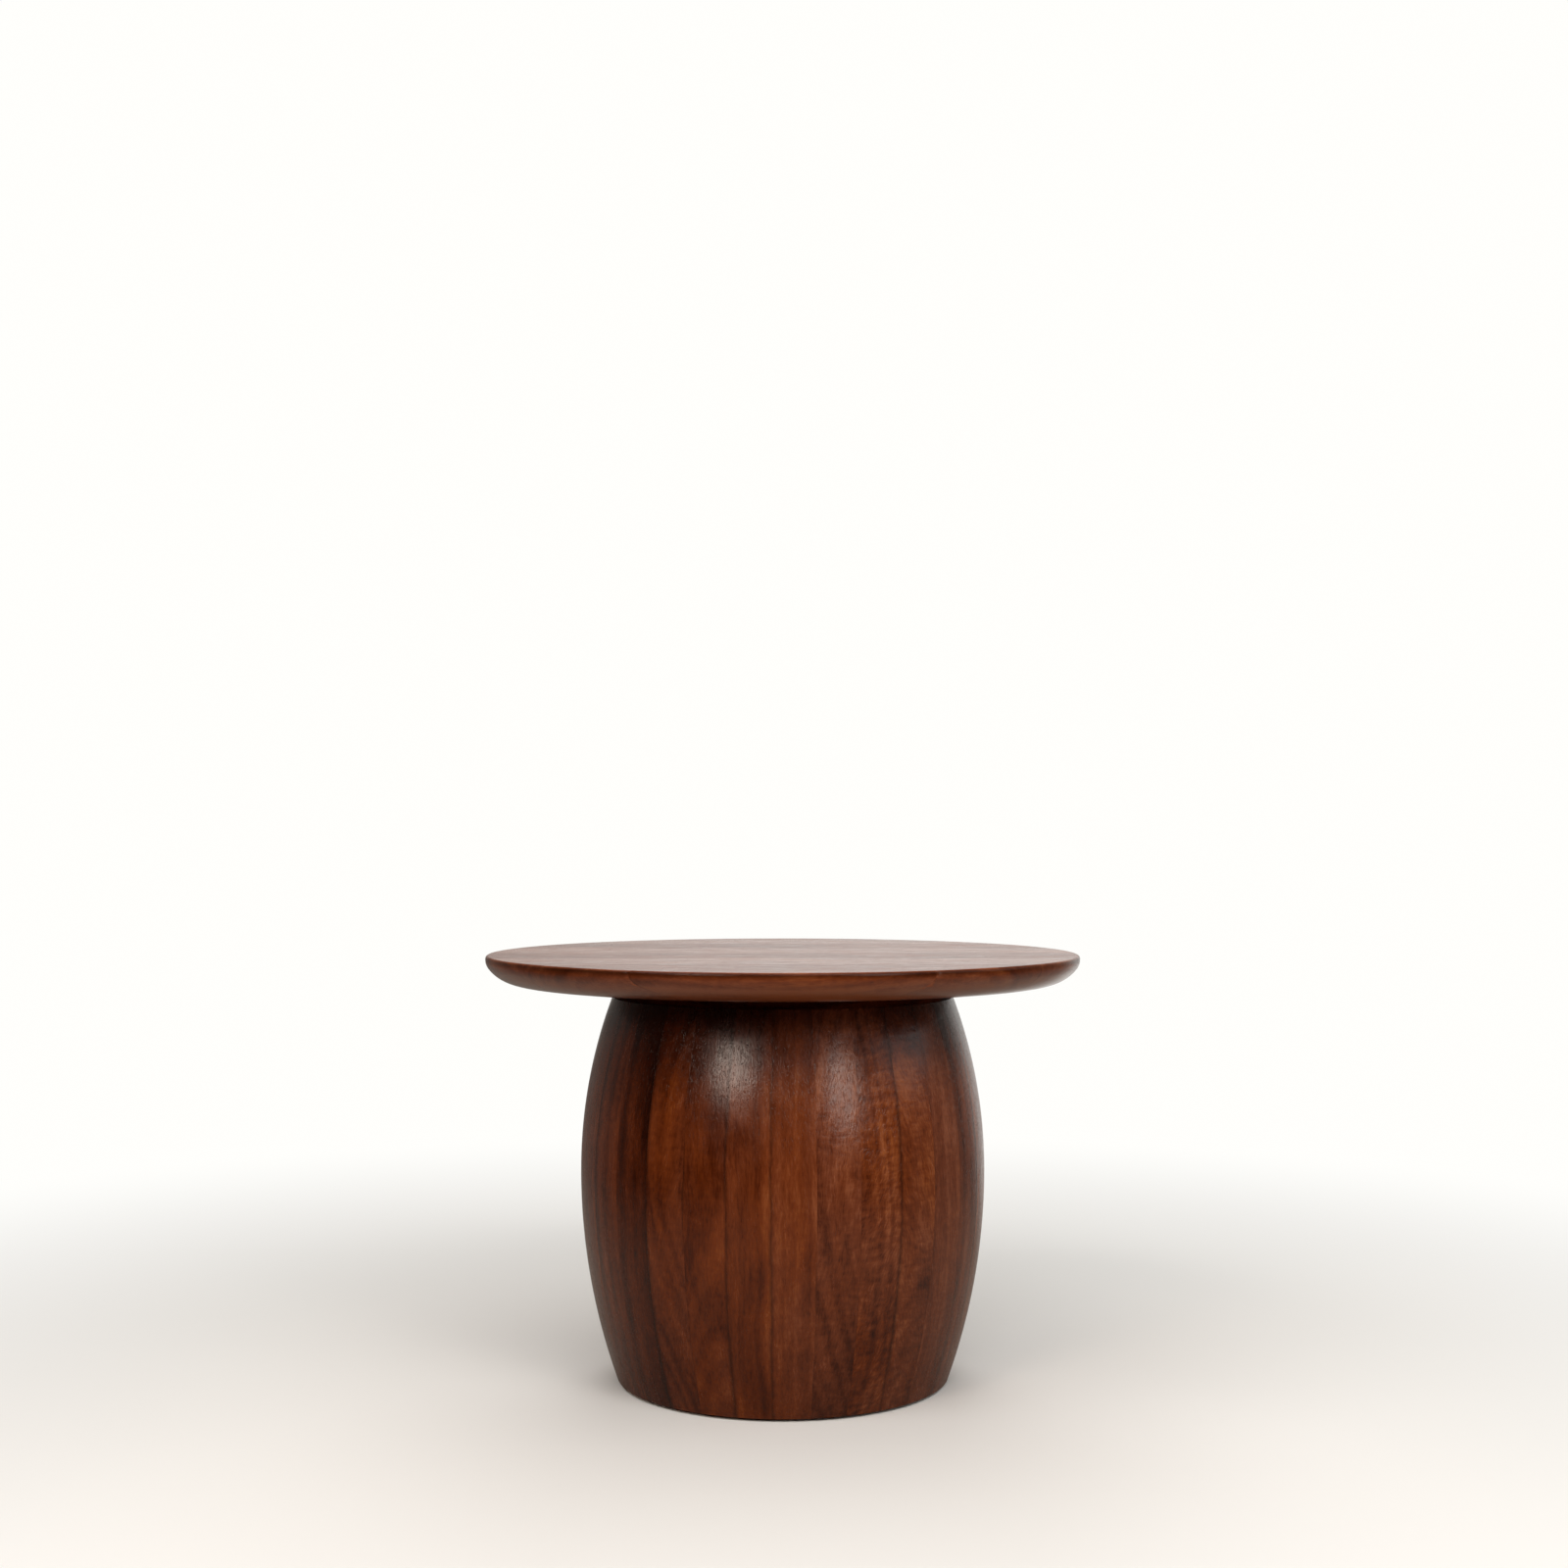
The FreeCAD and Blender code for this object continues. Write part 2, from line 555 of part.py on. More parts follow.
def make_glides():
    """Low round glides with a chamfered sole and a countersunk hole for their screw."""
    body, roles = new_body("glides")
    corners = [
        ("glide_screw_head_radius", 0),
        ("glide_sole_radius", 0),
        ("glide_radius", "glide_arris"),
        ("glide_radius", "foot_level"),
        ("glide_hole_radius", "foot_level"),
        ("glide_hole_radius", "glide_hole_neck"),
        ("glide_screw_head_radius", "glide_screw_recess"),
    ]
    glide = turned(body, roles, "glide", corners, "glide_circle")
    repeated(body, roles, "glide_set", [glide], "glide_count")
    return body


def make_glide_screws():
    """The small countersunk screws that hold the glides."""
    body, roles = new_body("glide_screws")
    corners = [
        (0, "glide_screw_recess"),
        ("glide_screw_head_radius", "glide_screw_recess"),
        ("glide_screw_radius", "glide_screw_neck"),
        ("glide_screw_radius", "glide_screw_point_level"),
        (0, "glide_screw_end"),
    ]
    screw = turned(body, roles, "screw", corners, "glide_circle")
    doc.recompute()
    socket = drive_socket(body, roles, "screw_socket", SQUARE_SIDE_COUNT,
                          "glide_screw_socket_radius", "glide_screw_socket_depth", "glide_screw_recess",
                          "glide_circle", "XZ_Plane")
    repeated(body, roles, "screws", [screw, socket], "glide_count")
    return body


def check_document():
    """Stops if any object failed."""
    for item in doc.Objects:
        if "Invalid" in item.State or "Error" in item.State:
            raise RuntimeError(f"{item.Label} failed: {item.State}")


def check_shape(piece):
    """Stops if a sub-part is empty, broken or holds no solid."""
    if piece.Shape.isNull() or not piece.Shape.isValid() or not piece.Shape.Solids:
        raise RuntimeError(f"{piece.Label} has no valid solid")


def write_step(piece):
    """Writes one sub-part and prints what it holds."""
    piece.Shape.exportStep(f"parts/{piece.Label}.step")
    solids = len(piece.Shape.Solids)
    print(f"{piece.Label}: {solids} solid(s), {piece.Shape.Volume / 1000:.2f} cm3")


fill_sheet()
blank = make_top_blank()
boards = round(size("board_count"))
pieces = [make_stave(number) for number in range(round(size("stave_count")))]
pieces += [make_top_board(blank, number, boards) for number in range(boards)]
pieces += [
    make_mounting_disc(),
    make_upper_ring(),
    make_foot_ring(),
    make_disc_screws(),
    make_threaded_inserts(),
    make_top_bolts(),
    make_bolt_washers(),
    make_glides(),
    make_glide_screws(),
]
doc.recompute()
check_document()
for piece in pieces:
    check_shape(piece)
os.makedirs("parts", exist_ok=True)
for piece in pieces:
    write_step(piece)
for alias in ("neck_radius", "foot_radius", "ring_bore_radius", "bolt_circle", "glide_circle"):
    print(f"{alias}: {size(alias):.2f}")
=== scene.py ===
# %% [markdown]
# A round accent table, dressed for the camera.
#
# The table is a turned barrel of thirty narrow staves under a thick round top, all in one dark
# reddish brown stain under a satin lacquer. The imported CAD model holds the sizes and the fit.
# This file gives the wood its look: it models the staves and the boards again with finer edges,
# and it builds every finish from shader nodes. Lengths are metres, +Z is up, and the front of
# the table looks along -Y.

# %% Import the CAD model
import math
import random

import bmesh
import bpy
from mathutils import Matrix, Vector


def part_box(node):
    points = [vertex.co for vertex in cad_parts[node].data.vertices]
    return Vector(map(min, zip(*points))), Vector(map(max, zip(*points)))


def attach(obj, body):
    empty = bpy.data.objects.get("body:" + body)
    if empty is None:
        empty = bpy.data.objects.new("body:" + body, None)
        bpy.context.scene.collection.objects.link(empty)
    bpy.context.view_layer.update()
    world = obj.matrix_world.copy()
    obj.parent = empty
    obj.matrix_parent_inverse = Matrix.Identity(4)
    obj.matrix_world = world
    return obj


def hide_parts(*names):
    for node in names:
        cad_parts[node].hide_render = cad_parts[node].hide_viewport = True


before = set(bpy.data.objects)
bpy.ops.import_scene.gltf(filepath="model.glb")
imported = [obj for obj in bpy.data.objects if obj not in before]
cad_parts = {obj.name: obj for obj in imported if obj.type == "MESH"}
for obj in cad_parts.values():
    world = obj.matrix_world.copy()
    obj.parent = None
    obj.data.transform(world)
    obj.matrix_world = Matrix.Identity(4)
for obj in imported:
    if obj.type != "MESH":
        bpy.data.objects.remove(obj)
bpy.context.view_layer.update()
print("CAD nodes:", len(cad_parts))

# %% [markdown]
# The sizes that the wood needs are read from the CAD nodes, so the dressed pieces follow the
# model. The barrel's wall is two arcs that meet at the belly, its widest point. Three radii and
# three levels say all about them: foot, belly and neck.

# %% Read the barrel's and the top's sizes
LEVEL_TOLERANCE = 0.000005


def reach(node, level=None):
    """Farthest distance from the table's axis in a CAD node, over all of it or at one level."""
    corners = [vertex.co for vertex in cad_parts[node].data.vertices]
    if level is not None:
        corners = [corner for corner in corners if abs(corner.z - level) < LEVEL_TOLERANCE]
    return max(math.hypot(corner.x, corner.y) for corner in corners)


def level_of_reach(node):
    """The level at which a CAD node reaches farthest from the axis."""
    corners = [vertex.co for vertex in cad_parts[node].data.vertices]
    return max(corners, key=lambda corner: math.hypot(corner.x, corner.y)).z


foot_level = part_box("stave_01")[0].z
barrel_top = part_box("stave_01")[1].z
belly_level = level_of_reach("stave_01")
belly_radius = reach("stave_01")
foot_radius = reach("stave_01", foot_level)
neck_radius = reach("stave_01", barrel_top)
top_radius = reach("top_board_4")
top_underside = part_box("top_board_4")[0].z
top_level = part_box("top_board_4")[1].z
print(f"barrel: foot {foot_radius:.4f}, neck {neck_radius:.4f}")
print(f"belly: {belly_radius:.4f} at {belly_level:.4f}")
print(f"top: radius {top_radius:.4f}, from {top_underside:.4f} to {top_level:.4f}")

# %% [markdown]
# The camera stands level with the eye just above the tabletop, so the top is seen as a thin
# ellipse. Its place and lens are fitted to the outline of the table in the photograph. A level
# camera keeps the barrel's sides upright, and a small shift puts the horizon where it is.

# %% Camera
SENSOR_WIDTH = 36
IMAGE_WIDTH = 1600
HORIZON_ROW = 854
FOCAL_PIXELS = 2061
CAMERA_PLACE = (0.0013, -2.059, 0.5484)

camera_data = bpy.data.cameras.new("camera")
camera_data.sensor_width = SENSOR_WIDTH
camera_data.lens = SENSOR_WIDTH * FOCAL_PIXELS / IMAGE_WIDTH
camera_data.shift_y = (HORIZON_ROW - IMAGE_WIDTH / 2) / IMAGE_WIDTH
camera = bpy.data.objects.new("camera", camera_data)
camera.location = CAMERA_PLACE
camera.rotation_euler = (math.pi / 2, 0, 0)
bpy.context.collection.objects.link(camera)
bpy.context.scene.camera = camera
bpy.context.scene.view_settings.view_transform = "Standard"
print(f"lens {camera_data.lens:.2f} mm, shift {camera_data.shift_y:.5f}")

# %% [markdown]
# Every finish below is a network of nodes, and most networks need the same few steps: add a
# node, do a sum, stretch a value between two limits, blend two colours, or read the place on
# the piece. A helper for each step keeps the networks short enough to read.

# %% Node helpers
def fill(tree, node, inputs):
    """Links every input that is given a socket, and sets every other one."""
    for key, value in inputs.items():
        if isinstance(value, bpy.types.NodeSocket):
            tree.links.new(value, node.inputs[key])
        else:
            node.inputs[key].default_value = value
    return node


def add_node(tree, kind, inputs=None, **settings):
    """Adds one node, with its settings and its inputs."""
    made = tree.nodes.new(kind)
    for name, value in settings.items():
        setattr(made, name, value)
    return fill(tree, made, inputs or {})


def sum_of(tree, operation, *values):
    """The result of one Math node."""
    inputs = dict(enumerate(values))
    return add_node(tree, "ShaderNodeMath", inputs, operation=operation).outputs[0]


def product(tree, first, second):
    """One value times another."""
    return sum_of(tree, "MULTIPLY", first, second)


def vector_of(tree, operation, first, second):
    """The result of one Vector Math node with two vectors."""
    inputs = {0: first, 1: second}
    return add_node(tree, "ShaderNodeVectorMath", inputs, operation=operation).outputs[0]


def length_of(tree, vector):
    """The length of a vector."""
    made = add_node(tree, "ShaderNodeVectorMath", {0: vector}, operation="LENGTH")
    return made.outputs["Value"]


def parts_of(tree, vector):
    """The x, y and z of a vector."""
    return add_node(tree, "ShaderNodeSeparateXYZ", {0: vector}).outputs


def own_place(tree):
    """The place on the piece. Every piece has its origin at the table's, so it is the table's."""
    return add_node(tree, "ShaderNodeTexCoord").outputs["Object"]


def turned_place(tree, turn, move=(0, 0, 0)):
    """The place on the piece, turned and then moved."""
    inputs = {"Vector": own_place(tree), "Location": move, "Rotation": turn}
    return add_node(tree, "ShaderNodeMapping", inputs).outputs[0]


def stretch(tree, value, low, high, start=0.0, end=1.0):
    """Maps low..high to start..end with soft ends, and holds the value there."""
    inputs = {"Value": value, "From Min": low, "From Max": high, "To Min": start, "To Max": end}
    return add_node(tree, "ShaderNodeMapRange", inputs, interpolation_type="SMOOTHSTEP").outputs[0]


def noise(tree, place, scale, detail=2.0, roughness=0.5):
    """Noise around one half, at a place that may be a stretched one."""
    inputs = {"Vector": place, "Scale": scale, "Detail": detail, "Roughness": roughness}
    return add_node(tree, "ShaderNodeTexNoise", inputs).outputs[0]


def blend(tree, mask, first, second, blend_type="MIX"):
    """First colour where the mask is 0, second where it is 1."""
    inputs = {0: mask, 6: first, 7: second}
    return add_node(tree, "ShaderNodeMix", inputs, data_type="RGBA", blend_type=blend_type).outputs[2]


def choose(tree, mask, first, second):
    """First value where the mask is 0, second where it is 1."""
    inputs = {0: mask, 2: first, 3: second}
    return add_node(tree, "ShaderNodeMix", inputs, data_type="FLOAT").outputs[0]


def colour_ramp(tree, value, stops):
    """A Color Ramp through (position, colour) stops."""
    made = add_node(tree, "ShaderNodeValToRGB", {"Fac": value})
    elements = made.color_ramp.elements
    while len(elements) < len(stops):
        elements.new(1.0)
    for element, (position, colour) in zip(elements, stops):
        element.position = position
        element.color = (*colour, 1.0)
    return made.outputs[0]


def new_group(name, takes, gives):
    """A shader node group. It takes {socket: value} and gives the sockets that are named."""
    group = bpy.data.node_groups.new(name, "ShaderNodeTree")
    for label, value in takes.items():
        size = len(value) if isinstance(value, tuple) else 1
        kind = {1: "NodeSocketFloat", 3: "NodeSocketVector", 4: "NodeSocketColor"}[size]
        group.interface.new_socket(name=label, in_out="INPUT", socket_type=kind).default_value = value
    for label in gives:
        kind = "NodeSocketColor" if label == "Colour" else "NodeSocketFloat"
        group.interface.new_socket(name=label, in_out="OUTPUT", socket_type=kind)
    return group, group.nodes.new("NodeGroupInput"), group.nodes.new("NodeGroupOutput")


def place_group(tree, group, inputs):
    """Places a node group in a material and fills its inputs."""
    made = tree.nodes.new("ShaderNodeGroup")
    made.node_tree = group
    return fill(tree, made, inputs)


def new_material(name):
    """An empty material with its shader in place: the tree and the Principled BSDF."""
    material = bpy.data.materials.new(name)
    material.use_nodes = True
    return material, material.node_tree, material.node_tree.nodes["Principled BSDF"]


def set_relief(tree, shader, height, depth):
    """Bumps a shader's surface by a height that stands for so many metres."""
    bump = add_node(tree, "ShaderNodeBump", {"Height": height, "Distance": depth, "Strength": 1.0})
    tree.links.new(bump.outputs["Normal"], shader.inputs["Normal"])


print("helpers ready, on Blender", bpy.app.version_string)

# %% [markdown]
# The studio is a pale floor under a white surround. The surround could be a lit paper sweep,
# but that would throw light on the table from all round and wash out the stain. So the world
# is white to the camera, and in reflections it is white only behind the table, which gives the
# top its sheen and the barrel its bright edges. At the sides it is mirrored dim and warm, as a
# room is, and in front nearly dark. For all other light it is a plain soft fill. The floor has
# a colour for the eye, a darker one for reflections and a browner one for the light that it
# throws back. It fades into the white with distance, so it has no edge, and it keeps the
# table's shadow close by.

# %% Surround and floor
SURROUND_WHITE = (1.0, 0.995, 0.97, 1.0)
SURROUND_MIRRORED = (0.935, 0.915, 0.875, 1.0)
SIDE_MIRRORED = (1.0, 0.88, 0.78, 1.0)
FILL_COLOUR = (1.0, 0.98, 0.95, 1.0)
FILL_STRENGTH = 0.045
DIM_FRONT = 0.03
DIM_SIDE = 0.20
DIM_SIDE_START = -0.30
DIM_SIDE_END = 0.35
WHITE_SIDE_TURN = math.radians(15.5)
WHITE_SIDE_START = 0.775
WHITE_SIDE_END = 0.985
FLOOR_SIZE = 60
FLOOR_FADE_START = 0.32
FLOOR_FADE_END = 1.7
FLOOR_SEEN = (0.80, 0.775, 0.735, 1.0)
FLOOR_MIRRORED = (0.39, 0.34, 0.29, 1.0)
FLOOR_BOUNCE = (0.11, 0.072, 0.044, 1.0)


def seen_directly(tree):
    """1 on rays from the camera, and on those that a gloss or a glass sends on."""
    path = tree.nodes.new("ShaderNodeLightPath")
    seen = sum_of(tree, "MAXIMUM", path.outputs["Is Camera Ray"], path.outputs["Is Glossy Ray"])
    return sum_of(tree, "MAXIMUM", seen, path.outputs["Is Transmission Ray"])


def surround_inputs(tree, direction):
    """Colour and strength: white to the camera. In reflections white only behind the table."""
    white_side = (math.sin(WHITE_SIDE_TURN), math.cos(WHITE_SIDE_TURN), 0)
    backward = add_node(tree, "ShaderNodeVectorMath", {0: direction, 1: white_side},
                        operation="DOT_PRODUCT").outputs["Value"]
    dim = stretch(tree, backward, DIM_SIDE_START, DIM_SIDE_END, DIM_FRONT, DIM_SIDE)
    bright = stretch(tree, backward, WHITE_SIDE_START, WHITE_SIDE_END)
    mirrored = sum_of(tree, "MAXIMUM", dim, bright)
    by_eye = tree.nodes.new("ShaderNodeLightPath").outputs["Is Camera Ray"]
    colour = blend(tree, bright, SIDE_MIRRORED, SURROUND_MIRRORED)
    colour = blend(tree, by_eye, colour, SURROUND_WHITE)
    return {"Color": colour, "Strength": sum_of(tree, "MAXIMUM", by_eye, mirrored)}


def make_surround():
    """The world: white where it is seen, a soft fill where it lights."""
    world = bpy.data.worlds.new("surround")
    bpy.context.scene.world = world
    world.use_nodes = True
    tree = world.node_tree
    tree.nodes.clear()
    direction = add_node(tree, "ShaderNodeTexCoord").outputs["Generated"]
    white = add_node(tree, "ShaderNodeBackground", surround_inputs(tree, direction))
    soft = add_node(tree, "ShaderNodeBackground", {"Color": FILL_COLOUR, "Strength": FILL_STRENGTH})
    inputs = {0: seen_directly(tree), 1: soft.outputs[0], 2: white.outputs[0]}
    mixed = add_node(tree, "ShaderNodeMixShader", inputs)
    add_node(tree, "ShaderNodeOutputWorld", {"Surface": mixed.outputs[0]})


def make_floor():
    """The floor: pale where it is seen, browner where it only bounces light, white far away."""
    bpy.ops.mesh.primitive_plane_add(size=FLOOR_SIZE, location=(0, 0, 0))
    floor = bpy.context.object
    floor.name = "floor"
    material = bpy.data.materials.new("pale_floor")
    material.use_nodes = True
    tree = material.node_tree
    tree.nodes.clear()
    seen = seen_directly(tree)
    by_eye = tree.nodes.new("ShaderNodeLightPath").outputs["Is Camera Ray"]
    colour = blend(tree, by_eye, blend(tree, seen, FLOOR_BOUNCE, FLOOR_MIRRORED), FLOOR_SEEN)
    matt = add_node(tree, "ShaderNodeBsdfDiffuse", {"Color": colour})
    place = own_place(tree)
    far = stretch(tree, length_of(tree, place), FLOOR_FADE_START, FLOOR_FADE_END)
    outward = add_node(tree, "ShaderNodeVectorMath", {0: place}, operation="NORMALIZE").outputs[0]
    white = add_node(tree, "ShaderNodeEmission", surround_inputs(tree, outward))
    faded = product(tree, far, seen)
    mixed = add_node(tree, "ShaderNodeMixShader", {0: faded, 1: matt.outputs[0], 2: white.outputs[0]})
    add_node(tree, "ShaderNodeOutputMaterial", {"Surface": mixed.outputs[0]})
    floor.data.materials.append(material)
    return floor


make_surround()
floor = make_floor()
print("floor", floor.dimensions[0], "m, fill", FILL_STRENGTH)

# %% [markdown]
# Two soft boxes stand in front, one to each side, a little above the table. Their reflections
# are the two soft highlights high on the barrel. The left one lies flat and the right one stands
# upright, which is why one highlight is a round patch and the other a tall streak. Both are a
# little warm, as lamps in a room are. All the lamps are ellipses, because a rectangle would show
# its corners in the lacquer. Two wide lamps higher up, one to each side, light the front evenly,
# and a weak one stands for a pale wall on the right. One hangs overhead for the top and the
# floor, and one behind lights the far side.

# %% Soft lights
WHITE = (1.0, 1.0, 1.0)
PALE = (1.0, 0.94, 0.87)
WARM = (1.0, 0.83, 0.71)
LIGHTS = [
    # name, azimuth off the front, elevation, distance, width, height, power, colour
    ("left_softbox", -29, 21, 2.4, 0.95, 0.52, 14.5, WARM),
    ("right_softbox", 34, 16, 2.4, 0.66, 0.76, 9.4, PALE),
    ("high_front", 20, 40, 2.6, 2.6, 0.80, 32, WHITE),
    ("high_left", -42, 48, 2.6, 1.8, 0.70, 17, WHITE),
    ("right_wall", 80, 29, 2.6, 2.2, 1.8, 10, WHITE),
    ("overhead", 0, 90, 2.6, 2.6, 2.6, 21, WHITE),
    ("behind", 180, 45, 2.6, 1.6, 1.2, 22, WHITE),
]


def add_softbox(name, azimuth, elevation, distance, width, height, power, colour):
    """One elliptical light that looks at the middle of the barrel, at its belly."""
    data = bpy.data.lights.new(name, "AREA")
    data.shape = "ELLIPSE"
    data.size = width
    data.size_y = height
    data.energy = power
    data.color = colour
    light = bpy.data.objects.new(name, data)
    flat = distance * math.cos(math.radians(elevation))
    across = flat * math.sin(math.radians(azimuth))
    forward = -flat * math.cos(math.radians(azimuth))
    upward = distance * math.sin(math.radians(elevation))
    light.location = (across, forward, upward + belly_level)
    light.rotation_euler = (math.radians(90 - elevation), 0, math.radians(azimuth))
    bpy.context.collection.objects.link(light)
    return light


for row in LIGHTS:
    lamp = add_softbox(*row)
    print(lamp.name, [round(part, 2) for part in lamp.location])

# %% [markdown]
# Real wood is a solid with a pattern all through it, not a skin. The grain group below works
# that way. It takes a place in the board that the piece was sawn from: x through the board, y
# across it and z along it. Growth rings are cylinders about the tree's heart, which lies some
# way outside the board and leans a little. Where a turned surface cuts through them at a
# slant, they show as long arches, as they do on the real barrel. Streaks, fibres and pores are
# noise that is drawn out along z. Slant lets them run off sideways as they rise, figure makes
# them waver, and wander bends the whole pattern a little. Slide moves the noise along the board
# and leaves the rings alone, so each piece shows a stretch of grain of its own.

# %% Grain of solid wood
GRAIN_TAKES = {
    "Place": (0.0, 0.0, 0.0),
    "Slide": 0.0,
    "Heart": (-0.08, 0.03, 0.0),
    "Ring Width": 0.009,
    "Lean": 0.03,
    "Slant": 0.0,
    "Figure": 0.3,
    "Wander": 0.012,
}
GRAIN_GIVES = ("Rings", "Latewood", "Streaks", "Fibre", "Pores", "Curl", "Patches", "Hue Patches")
NOISE_CELLS = {
    # name: cells a metre across the grain and along it, detail, roughness
    "Wave": (25, 45, 2.0, 0.5),
    "Fading": (30, 16, 2.0, 0.5),
    "Streaks": (85, 22, 3.0, 0.55),
    "Fibre": (500, 95, 3.0, 0.6),
    "Pores": (1300, 70, 1.0, 0.5),
    "Curl": (90, 210, 2.0, 0.5),
    "Patches": (24, 10, 3.0, 0.55),
    "Hue Patches": (22, 6, 2.0, 0.5),
}
WAVE_DEPTH = 0.012
DRIFT_CELLS = (9, 9, 6)
HUE_PLACE = (0.31, 0.17, 0.53)
RING_VARIATION = 0.8
RING_DETAIL = 1.5
RING_SHIFT = 1.6
RING_TONE_LIMITS = (0.25, 0.75)
LATEWOOD_RISE = (0.35, 0.9)
LATEWOOD_FALL = (0.93, 1.0)
LATEWOOD_FADING = (0.46, 0.74)
OPEN_PORES = (0.56, 0.72)


def drawn_out(tree, place, across, along, detail, roughness):
    """Noise with so many cells a metre across the grain and along it."""
    stretched = vector_of(tree, "MULTIPLY", place, (across, across, along))
    return noise(tree, stretched, 1.0, detail, roughness)


def make_grain_group():
    """Growth rings, streaks, fibres, pores, curl and patches of a solid board."""
    tree, given, result = new_group("grain", GRAIN_TAKES, GRAIN_GIVES)
    place = given.outputs["Place"]
    slide = add_node(tree, "ShaderNodeCombineXYZ", {2: given.outputs["Slide"]}).outputs[0]
    slid = vector_of(tree, "ADD", place, slide)
    drift_place = vector_of(tree, "MULTIPLY", slid, DRIFT_CELLS)
    drift_inputs = {"Vector": drift_place, "Scale": 1.0, "Detail": 2.0}
    drift = add_node(tree, "ShaderNodeTexNoise", drift_inputs).outputs["Color"]
    centred = vector_of(tree, "SUBTRACT", drift, (0.5, 0.5, 0.5))
    wander = add_node(tree, "ShaderNodeVectorMath", {0: centred, "Scale": given.outputs["Wander"]},
                      operation="SCALE").outputs[0]
    warped = vector_of(tree, "ADD", slid, wander)
    ring_place = vector_of(tree, "ADD", place, wander)

    along = parts_of(tree, ring_place)[2]
    wave = sum_of(tree, "SUBTRACT", drawn_out(tree, slid, *NOISE_CELLS["Wave"]), 0.5)
    wave = product(tree, product(tree, wave, WAVE_DEPTH), given.outputs["Figure"])
    run_off = product(tree, along, given.outputs["Slant"])
    offset = {1: sum_of(tree, "ADD", run_off, wave)}
    sideways = add_node(tree, "ShaderNodeCombineXYZ", offset).outputs[0]
    fibred = vector_of(tree, "ADD", warped, sideways)

    from_heart = parts_of(tree, vector_of(tree, "SUBTRACT", ring_place, given.outputs["Heart"]))
    leaning = sum_of(tree, "ADD", from_heart[0], product(tree, along, given.outputs["Lean"]))
    flat = add_node(tree, "ShaderNodeCombineXYZ", {0: leaning, 1: from_heart[1]})
    radius = length_of(tree, flat.outputs[0])
    ring = sum_of(tree, "DIVIDE", radius, given.outputs["Ring Width"])
    ring_inputs = {"W": ring, "Scale": RING_VARIATION, "Detail": RING_DETAIL}
    uneven = add_node(tree, "ShaderNodeTexNoise", ring_inputs, noise_dimensions="1D").outputs[0]
    turn = sum_of(tree, "FRACT", sum_of(tree, "ADD", ring, product(tree, uneven, RING_SHIFT)))
    rise = stretch(tree, turn, *LATEWOOD_RISE)
    fall = stretch(tree, turn, *LATEWOOD_FALL, 1.0, 0.0)
    faded = stretch(tree, drawn_out(tree, warped, *NOISE_CELLS["Fading"]), *LATEWOOD_FADING)
    pores = drawn_out(tree, fibred, *NOISE_CELLS["Pores"])
    made = {
        "Rings": stretch(tree, uneven, *RING_TONE_LIMITS),
        "Latewood": product(tree, product(tree, rise, fall), faded),
        "Pores": stretch(tree, pores, *OPEN_PORES),
    }
    hue_place = vector_of(tree, "ADD", warped, HUE_PLACE)
    for name, where in (("Streaks", fibred), ("Fibre", fibred), ("Curl", fibred),
                        ("Patches", warped), ("Hue Patches", hue_place)):
        made[name] = drawn_out(tree, where, *NOISE_CELLS[name])
    fill(tree, result, made)
    return tree


grain = make_grain_group()
print("grain group:", len(grain.nodes), "nodes")

# %% [markdown]
# The stain is what makes one table of many boards. It is a thin colour that soaks in deeper
# where the wood is soft, so the same grain shows through it, and each board still keeps a tone
# of its own. The group mixes the grain into one value and runs it through a ramp from nearly
# black brown to orange brown. Pores hold more stain and are a little open under the lacquer,
# so they are darker, duller and lower than the rest. Where the timber is figured, the curl
# shows as fine stripes across the grain, and it also stands in the surface by a hair, which
# gives the highlight there its silk.

# %% Stained wood
STAIN_TAKES = {
    "Rings": 0.5,
    "Latewood": 0.0,
    "Streaks": 0.5,
    "Fibre": 0.5,
    "Pores": 0.0,
    "Curl": 0.5,
    "Patches": 0.5,
    "Hue Patches": 0.5,
    "Joint": 0.0,
    "Tone": 0.0,
    "Warmth": 0.5,
    "Figure": 0.3,
    "Dullness": 0.25,
    "Uneven Gloss": 1.0,
}
STAIN_GIVES = ("Colour", "Roughness", "Height")
STAIN_RAMP = [
    (0.0, (0.020, 0.0034, 0.0009)),
    (0.3, (0.069, 0.0125, 0.0028)),
    (0.6, (0.154, 0.0340, 0.0092)),
    (1.0, (0.315, 0.0960, 0.0340)),
]
BROWN_STAIN = (1.0, 1.10, 1.45, 1.0)
ORANGE_STAIN = (1.0, 0.86, 0.45, 1.0)
# Colour of the joint lines, and also of the painted shade under the top's upper edge.
JOINT_AND_CREASE_SHADE_COLOUR = (0.010, 0.002, 0.0006, 1.0)
MIDDLE_TONE = 0.58
TONE_SHARES = {"Rings": 0.24, "Streaks": 0.30, "Fibre": 0.36, "Patches": 0.75}
FIGURED_TONE_SHARES = {"Curl": 0.60, "Fibre": 0.30}
LATEWOOD_TONE = -0.10
PORE_TONE = -0.12
HUE_SHARES = {"Hue Patches": 2.2}
GLOSS_SHARES = {"Fibre": 0.20, "Streaks": 0.28}
PORE_DULLNESS = 0.05
HEIGHT_SHARES = {"Fibre": 0.5, "Streaks": 0.5}
FIGURED_HEIGHT_SHARES = {"Curl": 0.9}
PORE_HEIGHT = -0.25


